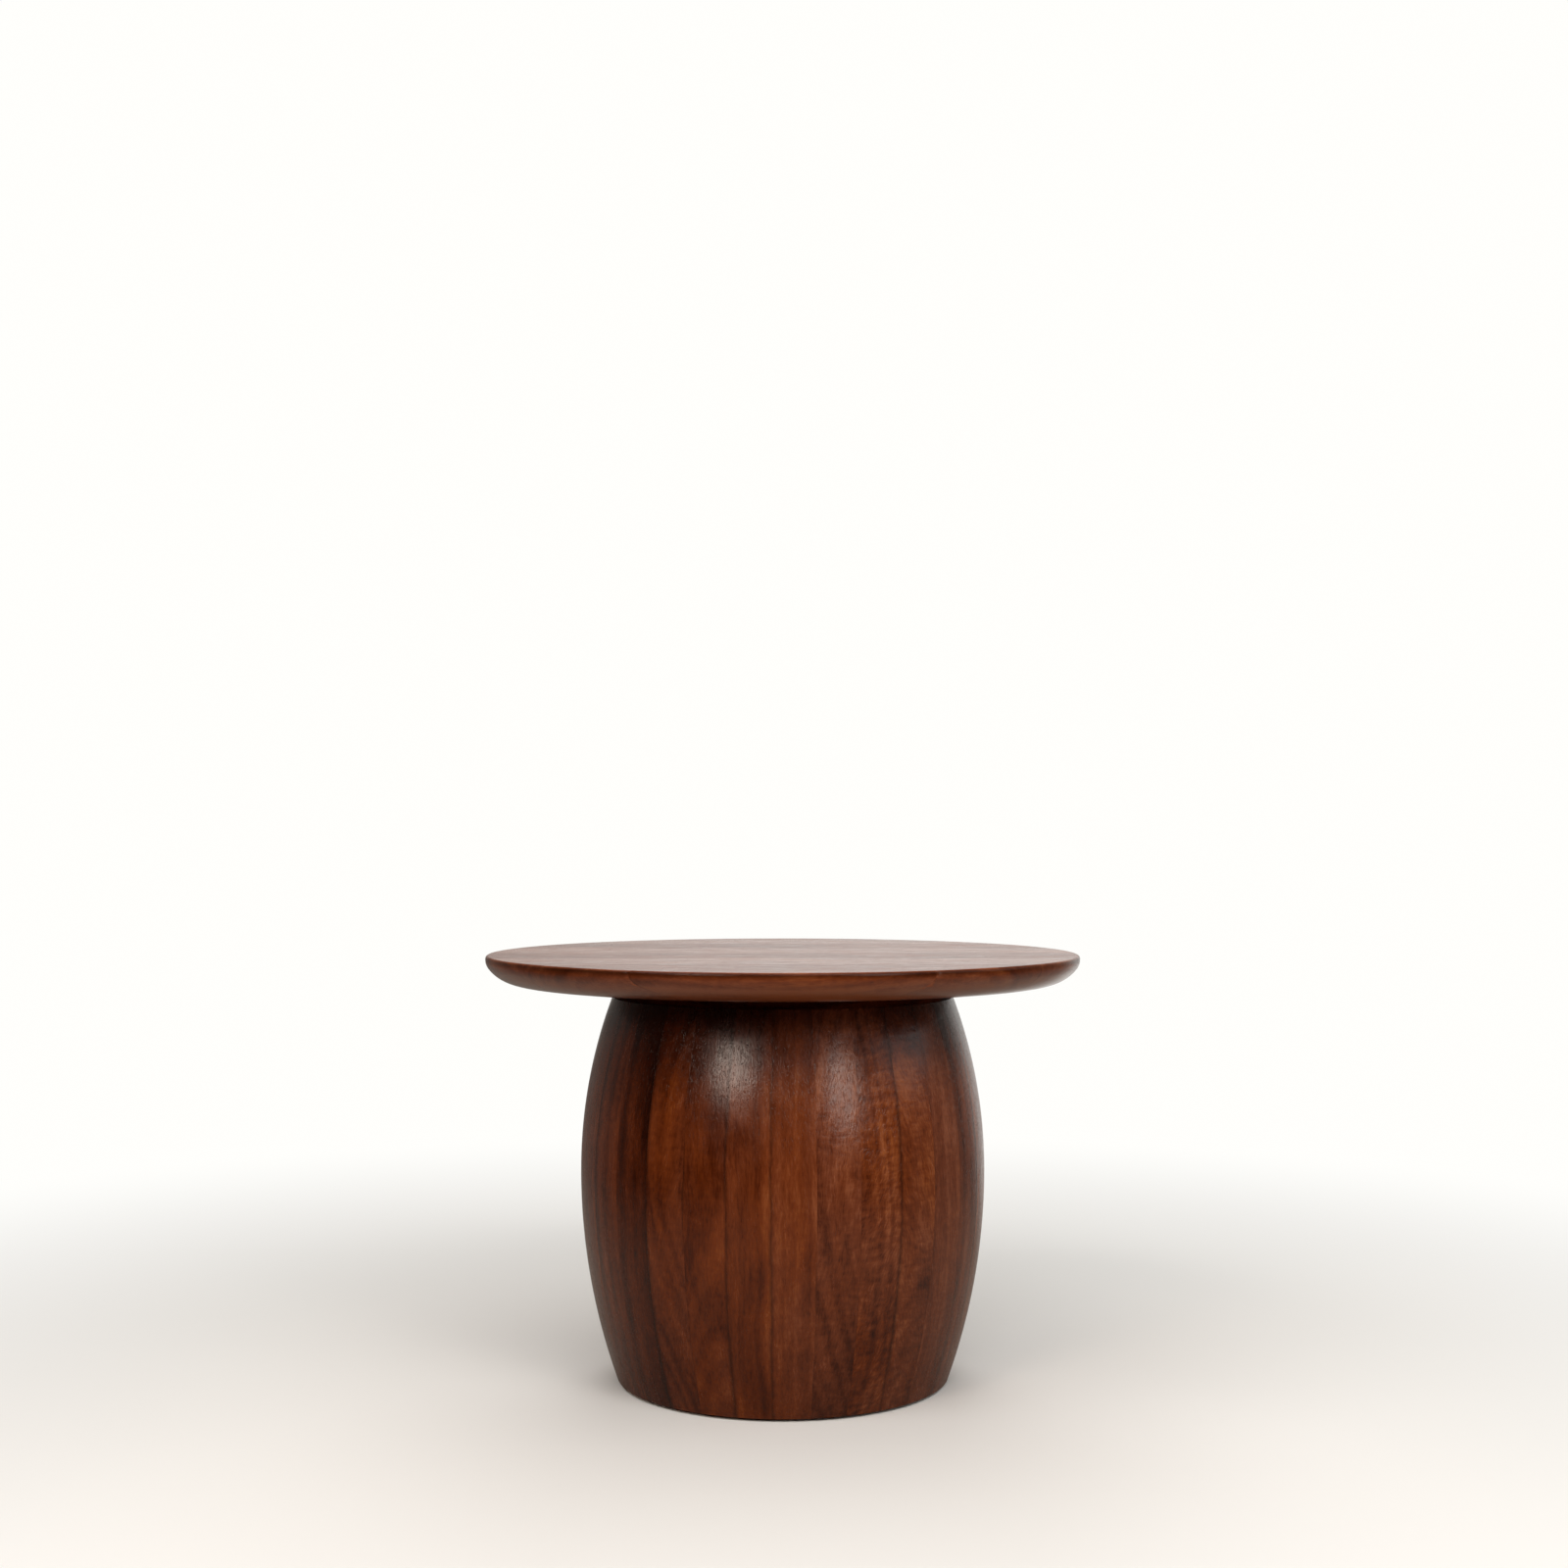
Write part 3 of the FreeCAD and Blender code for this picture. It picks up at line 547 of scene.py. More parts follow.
def make_stain_group():
    """Colour, roughness and height of stained and lacquered wood, from its grain."""
    tree, given, result = new_group("stained_wood", STAIN_TAKES, STAIN_GIVES)
    takes = given.outputs

    def more(value, shares, by=None):
        """The value plus each part of the grain about its middle, by its share."""
        total = None
        for name, share in shares.items():
            part = product(tree, sum_of(tree, "SUBTRACT", takes[name], 0.5), share)
            total = part if total is None else sum_of(tree, "ADD", total, part)
        if by:
            total = product(tree, total, takes[by])
        return sum_of(tree, "ADD", value, total)

    def moved(value, name, share):
        """The value moved by a share of one part of the grain, which starts at nothing."""
        return sum_of(tree, "ADD", value, product(tree, takes[name], share))

    value = sum_of(tree, "ADD", MIDDLE_TONE, takes["Tone"])
    value = more(value, TONE_SHARES)
    value = more(value, FIGURED_TONE_SHARES, "Figure")
    value = moved(value, "Latewood", LATEWOOD_TONE)
    value = moved(value, "Pores", PORE_TONE)
    stained = colour_ramp(tree, value, STAIN_RAMP)
    warmth = more(takes["Warmth"], HUE_SHARES)
    warmth = sum_of(tree, "MAXIMUM", sum_of(tree, "MINIMUM", warmth, 1.0), 0.0)
    tint = blend(tree, warmth, BROWN_STAIN, ORANGE_STAIN)
    tinted = blend(tree, 1.0, stained, tint, "MULTIPLY")
    gloss = more(takes["Dullness"], GLOSS_SHARES, "Uneven Gloss")
    height = more(more(0.0, HEIGHT_SHARES), FIGURED_HEIGHT_SHARES, "Figure")
    fill(tree, result, {
        "Colour": blend(tree, takes["Joint"], tinted, JOINT_AND_CREASE_SHADE_COLOUR),
        "Roughness": moved(gloss, "Pores", PORE_DULLNESS),
        "Height": moved(height, "Pores", PORE_HEIGHT),
    })
    return tree


stained_wood = make_stain_group()
print("stained wood group:", len(stained_wood.nodes), "nodes")

# %% [markdown]
# Glue and stain gather in the hairline between two staves, so some joints show as thin dark
# lines that come and go. They could be grooves, but the real joints are flush. So the joint
# group turns the distance from the edge of a piece into a mask. A stave's edge is an angle
# about the table's axis, and a board's edge is a distance across it, so the group takes the
# distance ready measured.

# %% Joint lines
JOINT_TAKES = {"Place": (0.0, 0.0, 0.0), "Edge Distance": 1.0, "Width": 0.0010, "Presence": 0.5}
JOINT_DEPTH = 0.55
JOINT_CELLS = (8, 17, 3.0, 0.6)
JOINT_RARITY = 0.9
JOINT_SOFTNESS = 0.15
LEAST_JOINT_WIDTH = 0.4


def make_joint_group():
    """A mask of the stain line along a joint, which widens, narrows and fades along it."""
    tree, given, result = new_group("joint_line", JOINT_TAKES, ["Joint"])
    along = drawn_out(tree, given.outputs["Place"], *JOINT_CELLS)
    limit = sum_of(tree, "SUBTRACT", JOINT_RARITY, given.outputs["Presence"])
    low = sum_of(tree, "SUBTRACT", limit, JOINT_SOFTNESS)
    there = stretch(tree, along, low, sum_of(tree, "ADD", limit, JOINT_SOFTNESS))
    wide = product(tree, given.outputs["Width"], sum_of(tree, "ADD", LEAST_JOINT_WIDTH, there))
    line = stretch(tree, given.outputs["Edge Distance"], 0.0, wide, JOINT_DEPTH, 0.0)
    fill(tree, result, {"Joint": product(tree, line, there)})
    return tree


joint_line = make_joint_group()
print("joint group:", len(joint_line.nodes), "nodes")

# %% [markdown]
# Each stave is its own piece of timber, so each has its own material: the same groups with
# values of its own. A Mapping node first turns the stave's middle to +X and sets its face at
# x = 0, so that x runs through its thickness. The values are tone, tilt, warmth, figure,
# heart, ring width, lean and slant, and the stain in the joints on its two sides. Tilt is how
# much lighter or darker the stave gets upwards. Close under the top the stave is painted
# darker, as painted shade where the top's overhang shades the barrel.

# %% A material for one stave
STAVE_COUNT = 30
STAVE_ANGLE = 2 * math.pi / STAVE_COUNT
FIRST_STAVE_TURN = math.radians(-87)
STAVE_IOR = 1.37
TOP_IOR = 1.2
STAVE_DULLNESS = 0.21
GRAIN_DEPTH = 0.00026
COAT_ROUGHNESS = 0.35
# Painted shade under the top: how much darker, and between which levels.
NECK_PAINTED_SHADE = 0.34
NECK_PAINTED_SHADE_START = barrel_top - 0.070
NECK_PAINTED_SHADE_END = barrel_top - 0.006


def stave_turn(number):
    """Angle from +X to the middle of a stave, which are numbered from 1."""
    return FIRST_STAVE_TURN + STAVE_ANGLE * (number - 1)


def sockets_of(finish, takes):
    """The values of a finish that a group takes, by the names of its sockets."""
    return {key: value for key, value in finish.items() if key in takes}


def nowhere(tree):
    """No painted crease shade, or no thick lacquer."""
    return 0.0


def lacquered(name, place, joint, tone, finish, painted_crease_shade=nowhere, coat=nowhere):
    """A stained and lacquered wood material.

    All but name and finish are functions that add nodes: the place in the board, the joint
    line's inputs, how light the stain is, how much painted shade lies in the crease under the
    edge and how much thick lacquer lies over it.
    """
    material, tree, shader = new_material(name)
    where = place(tree)
    grained = place_group(tree, grain, {"Place": where, **sockets_of(finish, GRAIN_TAKES)})
    along = add_node(tree, "ShaderNodeCombineXYZ", {2: finish["Slide"]}).outputs[0]
    slid = vector_of(tree, "ADD", where, along)
    jointed = place_group(tree, joint_line, {"Place": slid, **joint(tree)})
    # The joint input also carries the painted shade in the crease under the top's edge.
    wood = place_group(tree, stained_wood, {
        **{key: grained.outputs[key] for key in GRAIN_GIVES},
        **sockets_of(finish, STAIN_TAKES),
        "Joint": sum_of(tree, "MAXIMUM", jointed.outputs["Joint"], painted_crease_shade(tree)),
        "Tone": tone(tree)})
    fill(tree, shader, {
        "Base Color": wood.outputs["Colour"], "Roughness": wood.outputs["Roughness"],
        "IOR": finish["ior"], "Coat Roughness": COAT_ROUGHNESS, "Coat Weight": coat(tree)})
    set_relief(tree, shader, wood.outputs["Height"], finish["grain_depth"])
    return material


def stave_material(number, finish):
    """The finish of one stave."""
    turn = stave_turn(number)

    def place(tree):
        """The place in the stave's own board."""
        return turned_place(tree, (0, 0, -turn), (-belly_radius, 0, 0))

    def joint(tree):
        """The distance to the nearer joint, and the stain in that joint."""
        parts = parts_of(tree, turned_place(tree, (0, 0, -turn)))
        angle = sum_of(tree, "ARCTAN2", parts[1], parts[0])
        spare = sum_of(tree, "SUBTRACT", STAVE_ANGLE / 2, sum_of(tree, "ABSOLUTE", angle))
        to_the_right = sum_of(tree, "GREATER_THAN", angle, 0.0)
        inputs = {"Edge Distance": product(tree, spare, parts[0])}
        for key, left, right in zip(("Presence", "Width"), finish["left_joint"], finish["right_joint"]):
            inputs[key] = choose(tree, to_the_right, left, right)
        return inputs

    def tone(tree):
        """How light the stave is, from its tilt and from the painted shade under the top."""
        level = parts_of(tree, own_place(tree))[2]
        rise = sum_of(tree, "DIVIDE", sum_of(tree, "SUBTRACT", level, belly_level), belly_level)
        tilted = sum_of(tree, "ADD", finish["tone"], product(tree, rise, finish["tilt"]))
        # Painted shade: darker close under the top, where the top's shadow falls.
        neck_shade = stretch(tree, level, NECK_PAINTED_SHADE_START, NECK_PAINTED_SHADE_END, 0.0, NECK_PAINTED_SHADE)
        return sum_of(tree, "SUBTRACT", tilted, neck_shade)

    return lacquered(f"stave_{number:02d}_finish", place, joint, tone, finish)


print("staves:", STAVE_COUNT, "of", round(math.degrees(STAVE_ANGLE), 1), "degrees")

# %% [markdown]
# A stave is sawn straight, glued to its neighbours and turned round on a lathe, so its face is
# a slice of a barrel and its edges are flat and point at the axis. One way to model it is to
# bend a plank. Here the wall's section is spun along the barrel's two arcs from the belly,
# trimmed level at foot and neck with two cuts, and then spun through one stave's share of
# the circle. A barrel is sanded smooth after it is glued, so its joints are flush, and the
# edges get only a hair's breadth of easing.

# %% Model one stave
WALL_THICKNESS = 0.023
EASED_EDGE = 0.0001
SHARP_ANGLE = math.radians(50)
ARC_STEPS = 26
STAVE_STEPS = 8
TRIM_SPARE = math.radians(3)


def select_none():
    """Deselects every object, so that an operator acts only on what comes next."""
    bpy.ops.object.select_all(action="DESELECT")


def select_vertices(mesh_object, test):
    """In edit mode, selects the vertices whose place passes the test, and what they bound."""
    sheet = bmesh.from_edit_mesh(mesh_object.data)
    bpy.ops.mesh.select_all(action="DESELECT")
    for vertex in sheet.verts:
        vertex.select = test(vertex.co)
    sheet.select_flush(True)
    bmesh.update_edit_mesh(mesh_object.data)


def sweep_of(inset, height):
    """Radius of an arc that draws in by inset over a height, square to it at its start."""
    return (inset ** 2 + height ** 2) / (2 * inset)


def own_copy(model, name):
    """A copy of a piece with a mesh of its own, which is then the active one."""
    select_none()
    piece = model.copy()
    piece.data = model.data.copy()
    piece.name = name
    bpy.context.collection.objects.link(piece)
    piece.select_set(True)
    bpy.context.view_layer.objects.active = piece
    return piece


def at_belly(place):
    """True for the two corners of the wall's section at the belly."""
    return abs(place.z - belly_level) < LEVEL_TOLERANCE


def make_wall_section():
    """The wall's section in the XZ plane, spun both ways from the belly and trimmed level."""
    select_none()
    middle = belly_radius - WALL_THICKNESS / 2
    bpy.ops.mesh.primitive_plane_add(size=WALL_THICKNESS, location=(middle, 0, belly_level))
    section = bpy.context.object
    bpy.ops.object.transform_apply(location=True)
    bpy.ops.object.mode_set(mode="EDIT")
    select_vertices(section, lambda place: place.y > 0)
    bpy.ops.mesh.delete(type="VERT")
    bpy.ops.mesh.select_all(action="SELECT")
    bpy.ops.transform.translate(value=(0, WALL_THICKNESS / 2, 0))
    for end_radius, end_level, sense in (
        (foot_radius, foot_level, -1),
        (neck_radius, barrel_top, 1),
    ):
        height = abs(end_level - belly_level)
        sweep = sweep_of(belly_radius - end_radius, height)
        angle = math.asin(height / sweep) + TRIM_SPARE
        select_vertices(section, at_belly)
        bpy.ops.mesh.spin(steps=ARC_STEPS, angle=sense * angle,
                          center=(belly_radius - sweep, 0, belly_level), axis=(0, 1, 0))
    for level, side in ((barrel_top, 1), (foot_level, -1)):
        bpy.ops.mesh.select_all(action="SELECT")
        bpy.ops.mesh.bisect(plane_co=(0, 0, level), plane_no=(0, 0, side), clear_outer=True)
    bpy.ops.mesh.select_all(action="SELECT")
    bpy.ops.mesh.remove_doubles(threshold=LEVEL_TOLERANCE)
    bpy.ops.object.mode_set(mode="OBJECT")
    return section


def ease_edges(piece, width):
    """Rounds every sharp edge by a hair and keeps the broad faces' shading."""
    bevel = piece.modifiers.new("eased edges", "BEVEL")
    bevel.width = width
    bevel.segments = 2
    bevel.limit_method = "ANGLE"
    bevel.angle_limit = SHARP_ANGLE
    bpy.ops.object.modifier_apply(modifier=bevel.name)
    bpy.ops.object.shade_smooth_by_angle(angle=SHARP_ANGLE)
    even = piece.modifiers.new("even shading", "WEIGHTED_NORMAL")
    even.keep_sharp = True
    bpy.ops.object.modifier_apply(modifier=even.name)


def make_first_stave():
    """One stave, spun from the wall's section at +X."""
    stave = make_wall_section()
    bpy.ops.object.mode_set(mode="EDIT")
    bpy.ops.mesh.select_all(action="SELECT")
    bpy.ops.mesh.spin(steps=STAVE_STEPS, angle=STAVE_ANGLE, center=(0, 0, 0), axis=(0, 0, 1))
    bpy.ops.mesh.select_all(action="SELECT")
    bpy.ops.mesh.remove_doubles(threshold=LEVEL_TOLERANCE)
    bpy.ops.mesh.normals_make_consistent(inside=False)
    bpy.ops.object.mode_set(mode="OBJECT")
    return stave


model_stave = make_first_stave()
ease_edges(model_stave, EASED_EDGE)
print("one stave:", len(model_stave.data.polygons), "faces")

# %% [markdown]
# The photograph shows eleven staves. Their differences carry the look of the barrel: a dark
# one at the left, a warm orange run left of the middle, a light one in the middle and
# livelier figure on the right. The first table below says that for those eleven and for the
# next one on each side: how light, how warm, how figured, and where the tree's heart lay. A
# heart beside the board gives straight lines along it, and one behind the board gives arches.
# The second table says how often and how broadly stain shows in the joints between them. The
# other staves and joints are drawn at random from a fixed seed, within limits that keep them
# like the ones that show.

# %% What each stave's timber is like
HEART_BESIDE_LEFT = (-0.02, -0.14, 0)
HEART_BESIDE_RIGHT = (-0.01, 0.13, 0)
HEART_BEHIND = (-0.040, 0.006, 0)
HEART_CORNER_LEFT = (-0.07, -0.06, 0)
HEART_CORNER_RIGHT = (-0.06, 0.07, 0)
SHOWN_STAVES = {
    # number: tone, tilt, warmth, figure, heart, ring width, lean, slant
    25: (-0.08, 0.00, 0.35, 0.30, HEART_BESIDE_LEFT, 0.0130, 0.05, 0.02),
    26: (-0.13, 0.00, 0.45, 0.30, HEART_BESIDE_LEFT, 0.0140, 0.05, 0.02),
    27: (-0.32, 0.00, 0.60, 0.30, HEART_BESIDE_RIGHT, 0.0160, 0.03, -0.02),
    28: (-0.11, 0.02, 0.72, 0.45, HEART_CORNER_LEFT, 0.0080, 0.12, -0.12),
    29: (-0.12, -0.06, 0.68, 0.30, HEART_BEHIND, 0.0080, 0.06, 0.03),
    30: (-0.11, -0.06, 0.95, 0.15, HEART_BESIDE_RIGHT, 0.0120, -0.04, 0.00),
    1: (0.02, 0.00, 0.34, 0.25, HEART_BESIDE_LEFT, 0.0120, 0.05, 0.02),
    2: (0.00, 0.28, 0.12, 0.60, HEART_CORNER_LEFT, 0.0090, 0.06, -0.08),
    3: (0.00, 0.12, 0.42, 1.00, HEART_CORNER_RIGHT, 0.0080, -0.08, -0.30),
    4: (0.00, 0.10, 0.42, 0.80, HEART_BEHIND, 0.0090, 0.05, 0.22),
    5: (0.03, 0.00, 0.15, 0.40, HEART_BESIDE_LEFT, 0.0120, 0.06, 0.05),
    6: (-0.08, 0.00, 0.20, 0.30, HEART_BESIDE_RIGHT, 0.0140, 0.05, 0.02),
    7: (0.08, 0.00, 0.30, 0.30, HEART_BESIDE_LEFT, 0.0130, 0.05, 0.02),
}
SHOWN_JOINTS = {
    # stave on the joint's left: presence, width of the stain to each side
    26: (0.30, 0.0014),
    27: (0.60, 0.0030),
    28: (0.36, 0.0022),
    29: (0.48, 0.0026),
    30: (0.44, 0.0028),
    1: (0.28, 0.0016),
    2: (0.15, 0.0010),
    3: (0.50, 0.0028),
    4: (0.28, 0.0014),
    5: (0.30, 0.0014),
}
SLIDE_STEP = 0.37
STAVE_WANDER = 0.018
timber_draw = random.Random(30)


def joint_finish(number):
    """Presence and width of the stain in the joint on the right of a stave."""
    draw = (timber_draw.uniform(0.2, 0.7), timber_draw.uniform(0.0010, 0.0024))
    return SHOWN_JOINTS.get(number, draw)


def stave_finish(number):
    """The finish values of one stave, by number."""
    draw = (
        timber_draw.uniform(-0.14, 0.10),
        timber_draw.uniform(-0.05, 0.12),
        timber_draw.uniform(0.35, 0.80),
        timber_draw.uniform(0.15, 0.60),
        timber_draw.choice((HEART_BESIDE_LEFT, HEART_BESIDE_RIGHT, HEART_BEHIND,
                            HEART_CORNER_LEFT, HEART_CORNER_RIGHT)),
        timber_draw.uniform(0.006, 0.010),
        timber_draw.uniform(-0.30, 0.30),
        timber_draw.uniform(-0.15, 0.15),
    )
    tone, tilt, warmth, figure, heart, ring_width, lean, slant = SHOWN_STAVES.get(number, draw)
    left = number - 1 if number > 1 else STAVE_COUNT
    return {
        "Warmth": warmth, "Figure": figure, "Heart": heart, "Ring Width": ring_width,
        "Lean": lean, "Slant": slant, "Wander": STAVE_WANDER, "Slide": SLIDE_STEP * number,
        "Dullness": STAVE_DULLNESS, "Uneven Gloss": 1.0,
        "tone": tone, "tilt": tilt, "ior": STAVE_IOR, "grain_depth": GRAIN_DEPTH,
        "left_joint": joints[left], "right_joint": joints[number],
    }


joints = {number: joint_finish(number) for number in range(1, STAVE_COUNT + 1)}
finishes = {number: stave_finish(number) for number in range(1, STAVE_COUNT + 1)}
tones = [finish["tone"] for finish in finishes.values()]
print(f"tones from {min(tones):.2f} to {max(tones):.2f}")

# %% [markdown]
# The inside of such a barrel isn't stained or lacquered, because it is hidden in use, so the
# faces that look at the axis get bare wood. It could be a plain pale colour, but whoever turns
# the table over to reach its bolts sees it close by. So it is the same grain with a pale ramp
# and no gloss.

# %% Bare wood inside the barrel
BARE_RAMP = [
    (0.0, (0.16, 0.085, 0.045)),
    (0.5, (0.36, 0.22, 0.125)),
    (1.0, (0.52, 0.36, 0.22)),
]
BARE_ROUGHNESS = 0.75
BARE_HEART = (0.3, 0.2, 0.0)
BARE_RING_WIDTH = 0.007
BARE_SHARES = {"Streaks": 0.6, "Fibre": 0.4, "Latewood": -0.12, "Pores": -0.15}


def make_bare_wood():
    """Unstained, unlacquered wood with its grain along Z."""
    material, tree, shader = new_material("bare_wood")
    inputs = {"Place": own_place(tree), "Heart": BARE_HEART, "Ring Width": BARE_RING_WIDTH}
    grained = place_group(tree, grain, inputs).outputs
    value = 0.0
    for name, share in BARE_SHARES.items():
        value = sum_of(tree, "ADD", value, product(tree, grained[name], share))
    colour = colour_ramp(tree, value, BARE_RAMP)
    fill(tree, shader, {"Base Color": colour, "Roughness": BARE_ROUGHNESS})
    set_relief(tree, shader, grained["Fibre"], GRAIN_DEPTH)
    return material


bare_wood = make_bare_wood()
print(bare_wood.name)

# %% [markdown]
# A cooper or a table maker glues the staves up in a ring. They could be one mesh with thirty
# materials, but each is a part of its own in the CAD model, and so it is here. Each stave is a
# copy of the one above with a mesh of its own. It is turned to its place, and the turn is
# applied, so that the place on the piece is also the place on the table.

# %% Set the staves round
INWARD_LIMIT = -0.5


def place_stave(model, number):
    """One stave's own copy, turned to its place and finished."""
    stave = own_copy(model, f"turned_stave_{number:02d}")
    stave.rotation_euler.z = stave_turn(number) - model_turn
    bpy.ops.object.transform_apply(rotation=True)
    stave.data.materials.append(stave_material(number, finishes[number]))
    stave.data.materials.append(bare_wood)
    for face in stave.data.polygons:
        inward = face.normal.x * face.center.x + face.normal.y * face.center.y
        if inward < INWARD_LIMIT * math.hypot(face.center.x, face.center.y):
            face.material_index = 1
    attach(stave, "root")
    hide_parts(f"stave_{number:02d}")
    return stave


turns = [math.atan2(vertex.co.y, vertex.co.x) for vertex in model_stave.data.vertices]
model_turn = (min(turns) + max(turns)) / 2
staves = [place_stave(model_stave, number) for number in range(1, STAVE_COUNT + 1)]
bpy.data.objects.remove(model_stave)
print("staves:", len(staves))

# %% [markdown]
# The top is glued up from eight boards and then turned, so its rim runs on from board to
# board while the grain doesn't. A spun section would give the same round. Here a disc is
# extruded ring by ring, so each step of the rim can be read below: a long sweep, a tight nose,
# a short upright band and a small rounding on the edge. The round blank is then cut along its
# glue joints.

# %% Turn the round top
BEVEL_WIDTH = 0.034
WIDEST_DROP = 0.004
TOP_ARRIS = 0.003
NOSE_SHARE = 0.6
ROUND_STEPS = 240
SWEEP_STEPS = 12
NOSE_STEPS = 7
ARRIS_STEPS = 6


def arc_rings(centre, radius, start, end, steps):
    """Rings (distance, level) along an arc about a centre, after its start."""
    angles = [start + (end - start) * step / steps for step in range(1, steps + 1)]
    return [(centre[0] + radius * math.cos(a), centre[1] + radius * math.sin(a)) for a in angles]


def rim_rings():
    """The rim from the underside's edge up to the flat top, as rings (distance, level)."""
    underside_radius = top_radius - BEVEL_WIDTH
    widest_level = top_level - WIDEST_DROP
    drop = widest_level - top_underside
    nose = drop * NOSE_SHARE
    sweep = (BEVEL_WIDTH ** 2 + drop ** 2 - 2 * BEVEL_WIDTH * nose) / (2 * (drop - nose))
    sweep_centre = (underside_radius, top_underside + sweep)
    nose_centre = (top_radius - nose, widest_level)
    join = math.atan2(nose_centre[1] - sweep_centre[1], nose_centre[0] - sweep_centre[0])
    arris_centre = (top_radius - TOP_ARRIS, top_level - TOP_ARRIS)
    rings = [(underside_radius, top_underside)]
    rings += arc_rings(sweep_centre, sweep, -math.pi / 2, join, SWEEP_STEPS)
    rings += arc_rings(nose_centre, nose, join, 0, NOSE_STEPS)
    rings += [(top_radius, top_level - TOP_ARRIS)]
    rings += arc_rings(arris_centre, TOP_ARRIS, 0, math.pi / 2, ARRIS_STEPS)
    return rings


def make_round_blank(rings):
    """The whole top, extruded ring by ring from a disc at its underside."""
    select_none()
    first_radius, first_level = rings[0]
    bpy.ops.mesh.primitive_circle_add(vertices=ROUND_STEPS, radius=first_radius,
                                      fill_type="NGON", location=(0, 0, first_level))
    blank = bpy.context.object
    bpy.ops.object.transform_apply(location=True)
    bpy.ops.object.mode_set(mode="EDIT")
    bpy.ops.mesh.select_all(action="SELECT")
    for (radius, level), (wider, higher) in zip(rings, rings[1:]):
        bpy.ops.mesh.extrude_region()
        bpy.ops.transform.translate(value=(0, 0, higher - level))
        bpy.ops.transform.resize(value=(wider / radius, wider / radius, 1))
    bpy.ops.mesh.select_all(action="SELECT")
    bpy.ops.mesh.normals_make_consistent(inside=False)
    bpy.ops.object.mode_set(mode="OBJECT")
    return blank


blank = make_round_blank(rim_rings())
print("blank:", len(blank.data.polygons), "faces,", [round(part, 4) for part in blank.dimensions])

# %% [markdown]
# A board of the top has its grain along X. Its material turns the pattern so that the grain's
# own z runs that way and its x runs through the thickness. So the rim at the front shows long
# grain, and at the far left and right it shows end grain, as sawn wood does. Three things
# are told by height alone. A dark line of painted shade lies just under the upper edge. The
# lower rim is painted lighter, as painted bounce light from below. And the lacquer runs down
# and lies thicker there, as a coat over the rest. The top reflects a little less than the
# barrel, as if it was rubbed down.

# %% Cut the boards and finish them
BOARD_COUNT = 8
BOARD_EASE = 0.00010
BOARD_JOINT_WIDTH = 0.0009
BOARD_JOINT_PRESENCE = 0.35
TOP_UNEVEN_GLOSS = 0.8
TOP_GRAIN_DEPTH = 0.00012
BOARD_LEAN = 0.02
BOARD_WANDER = 0.012
CREASE_LOW = top_level - 0.0075
CREASE_MIDDLE = top_level - 0.0020
CREASE_HIGH = top_level - 0.0001
# Painted shade: how dark the line under the upper edge is.
CREASE_PAINTED_SHADE = 0.76
CREASE_PATCHES = 9
CREASE_FADING = (0.25, 0.65, 0.4, 1.0)
# Painted light: the lower rim is made lighter in place of bounce light from below.
RIM_PAINTED_LIGHT = 0.44
RIM_PAINTED_LIGHT_START = top_level - 0.008
RIM_PAINTED_LIGHT_END = top_level - 0.019
RIM_COAT = 0.9
RIM_COAT_START = top_level - 0.004
RIM_COAT_FULL = top_level - 0.009
SHOWN_BOARDS = {
    # number: tone, warmth, figure, dullness, heart, ring width
    1: (0.02, 0.30, 0.25, 0.18, (-0.09, 0.02, 0), 0.0080),
    2: (-0.03, 0.25, 0.35, 0.19, (-0.08, -0.05, 0), 0.0090),
    3: (0.07, 0.50, 0.30, 0.16, (-0.12, 0.03, 0), 0.0100),
    4: (-0.05, 0.40, 0.45, 0.20, (-0.07, 0.04, 0), 0.0085),
    5: (0.09, 0.55, 0.25, 0.17, (-0.05, -0.09, 0), 0.0095),
    6: (0.00, 0.45, 0.50, 0.20, (-0.09, 0.00, 0), 0.0090),
    7: (0.07, 0.55, 0.30, 0.17, (-0.10, 0.06, 0), 0.0100),
    8: (-0.03, 0.45, 0.30, 0.19, (-0.08, -0.03, 0), 0.0090),
}


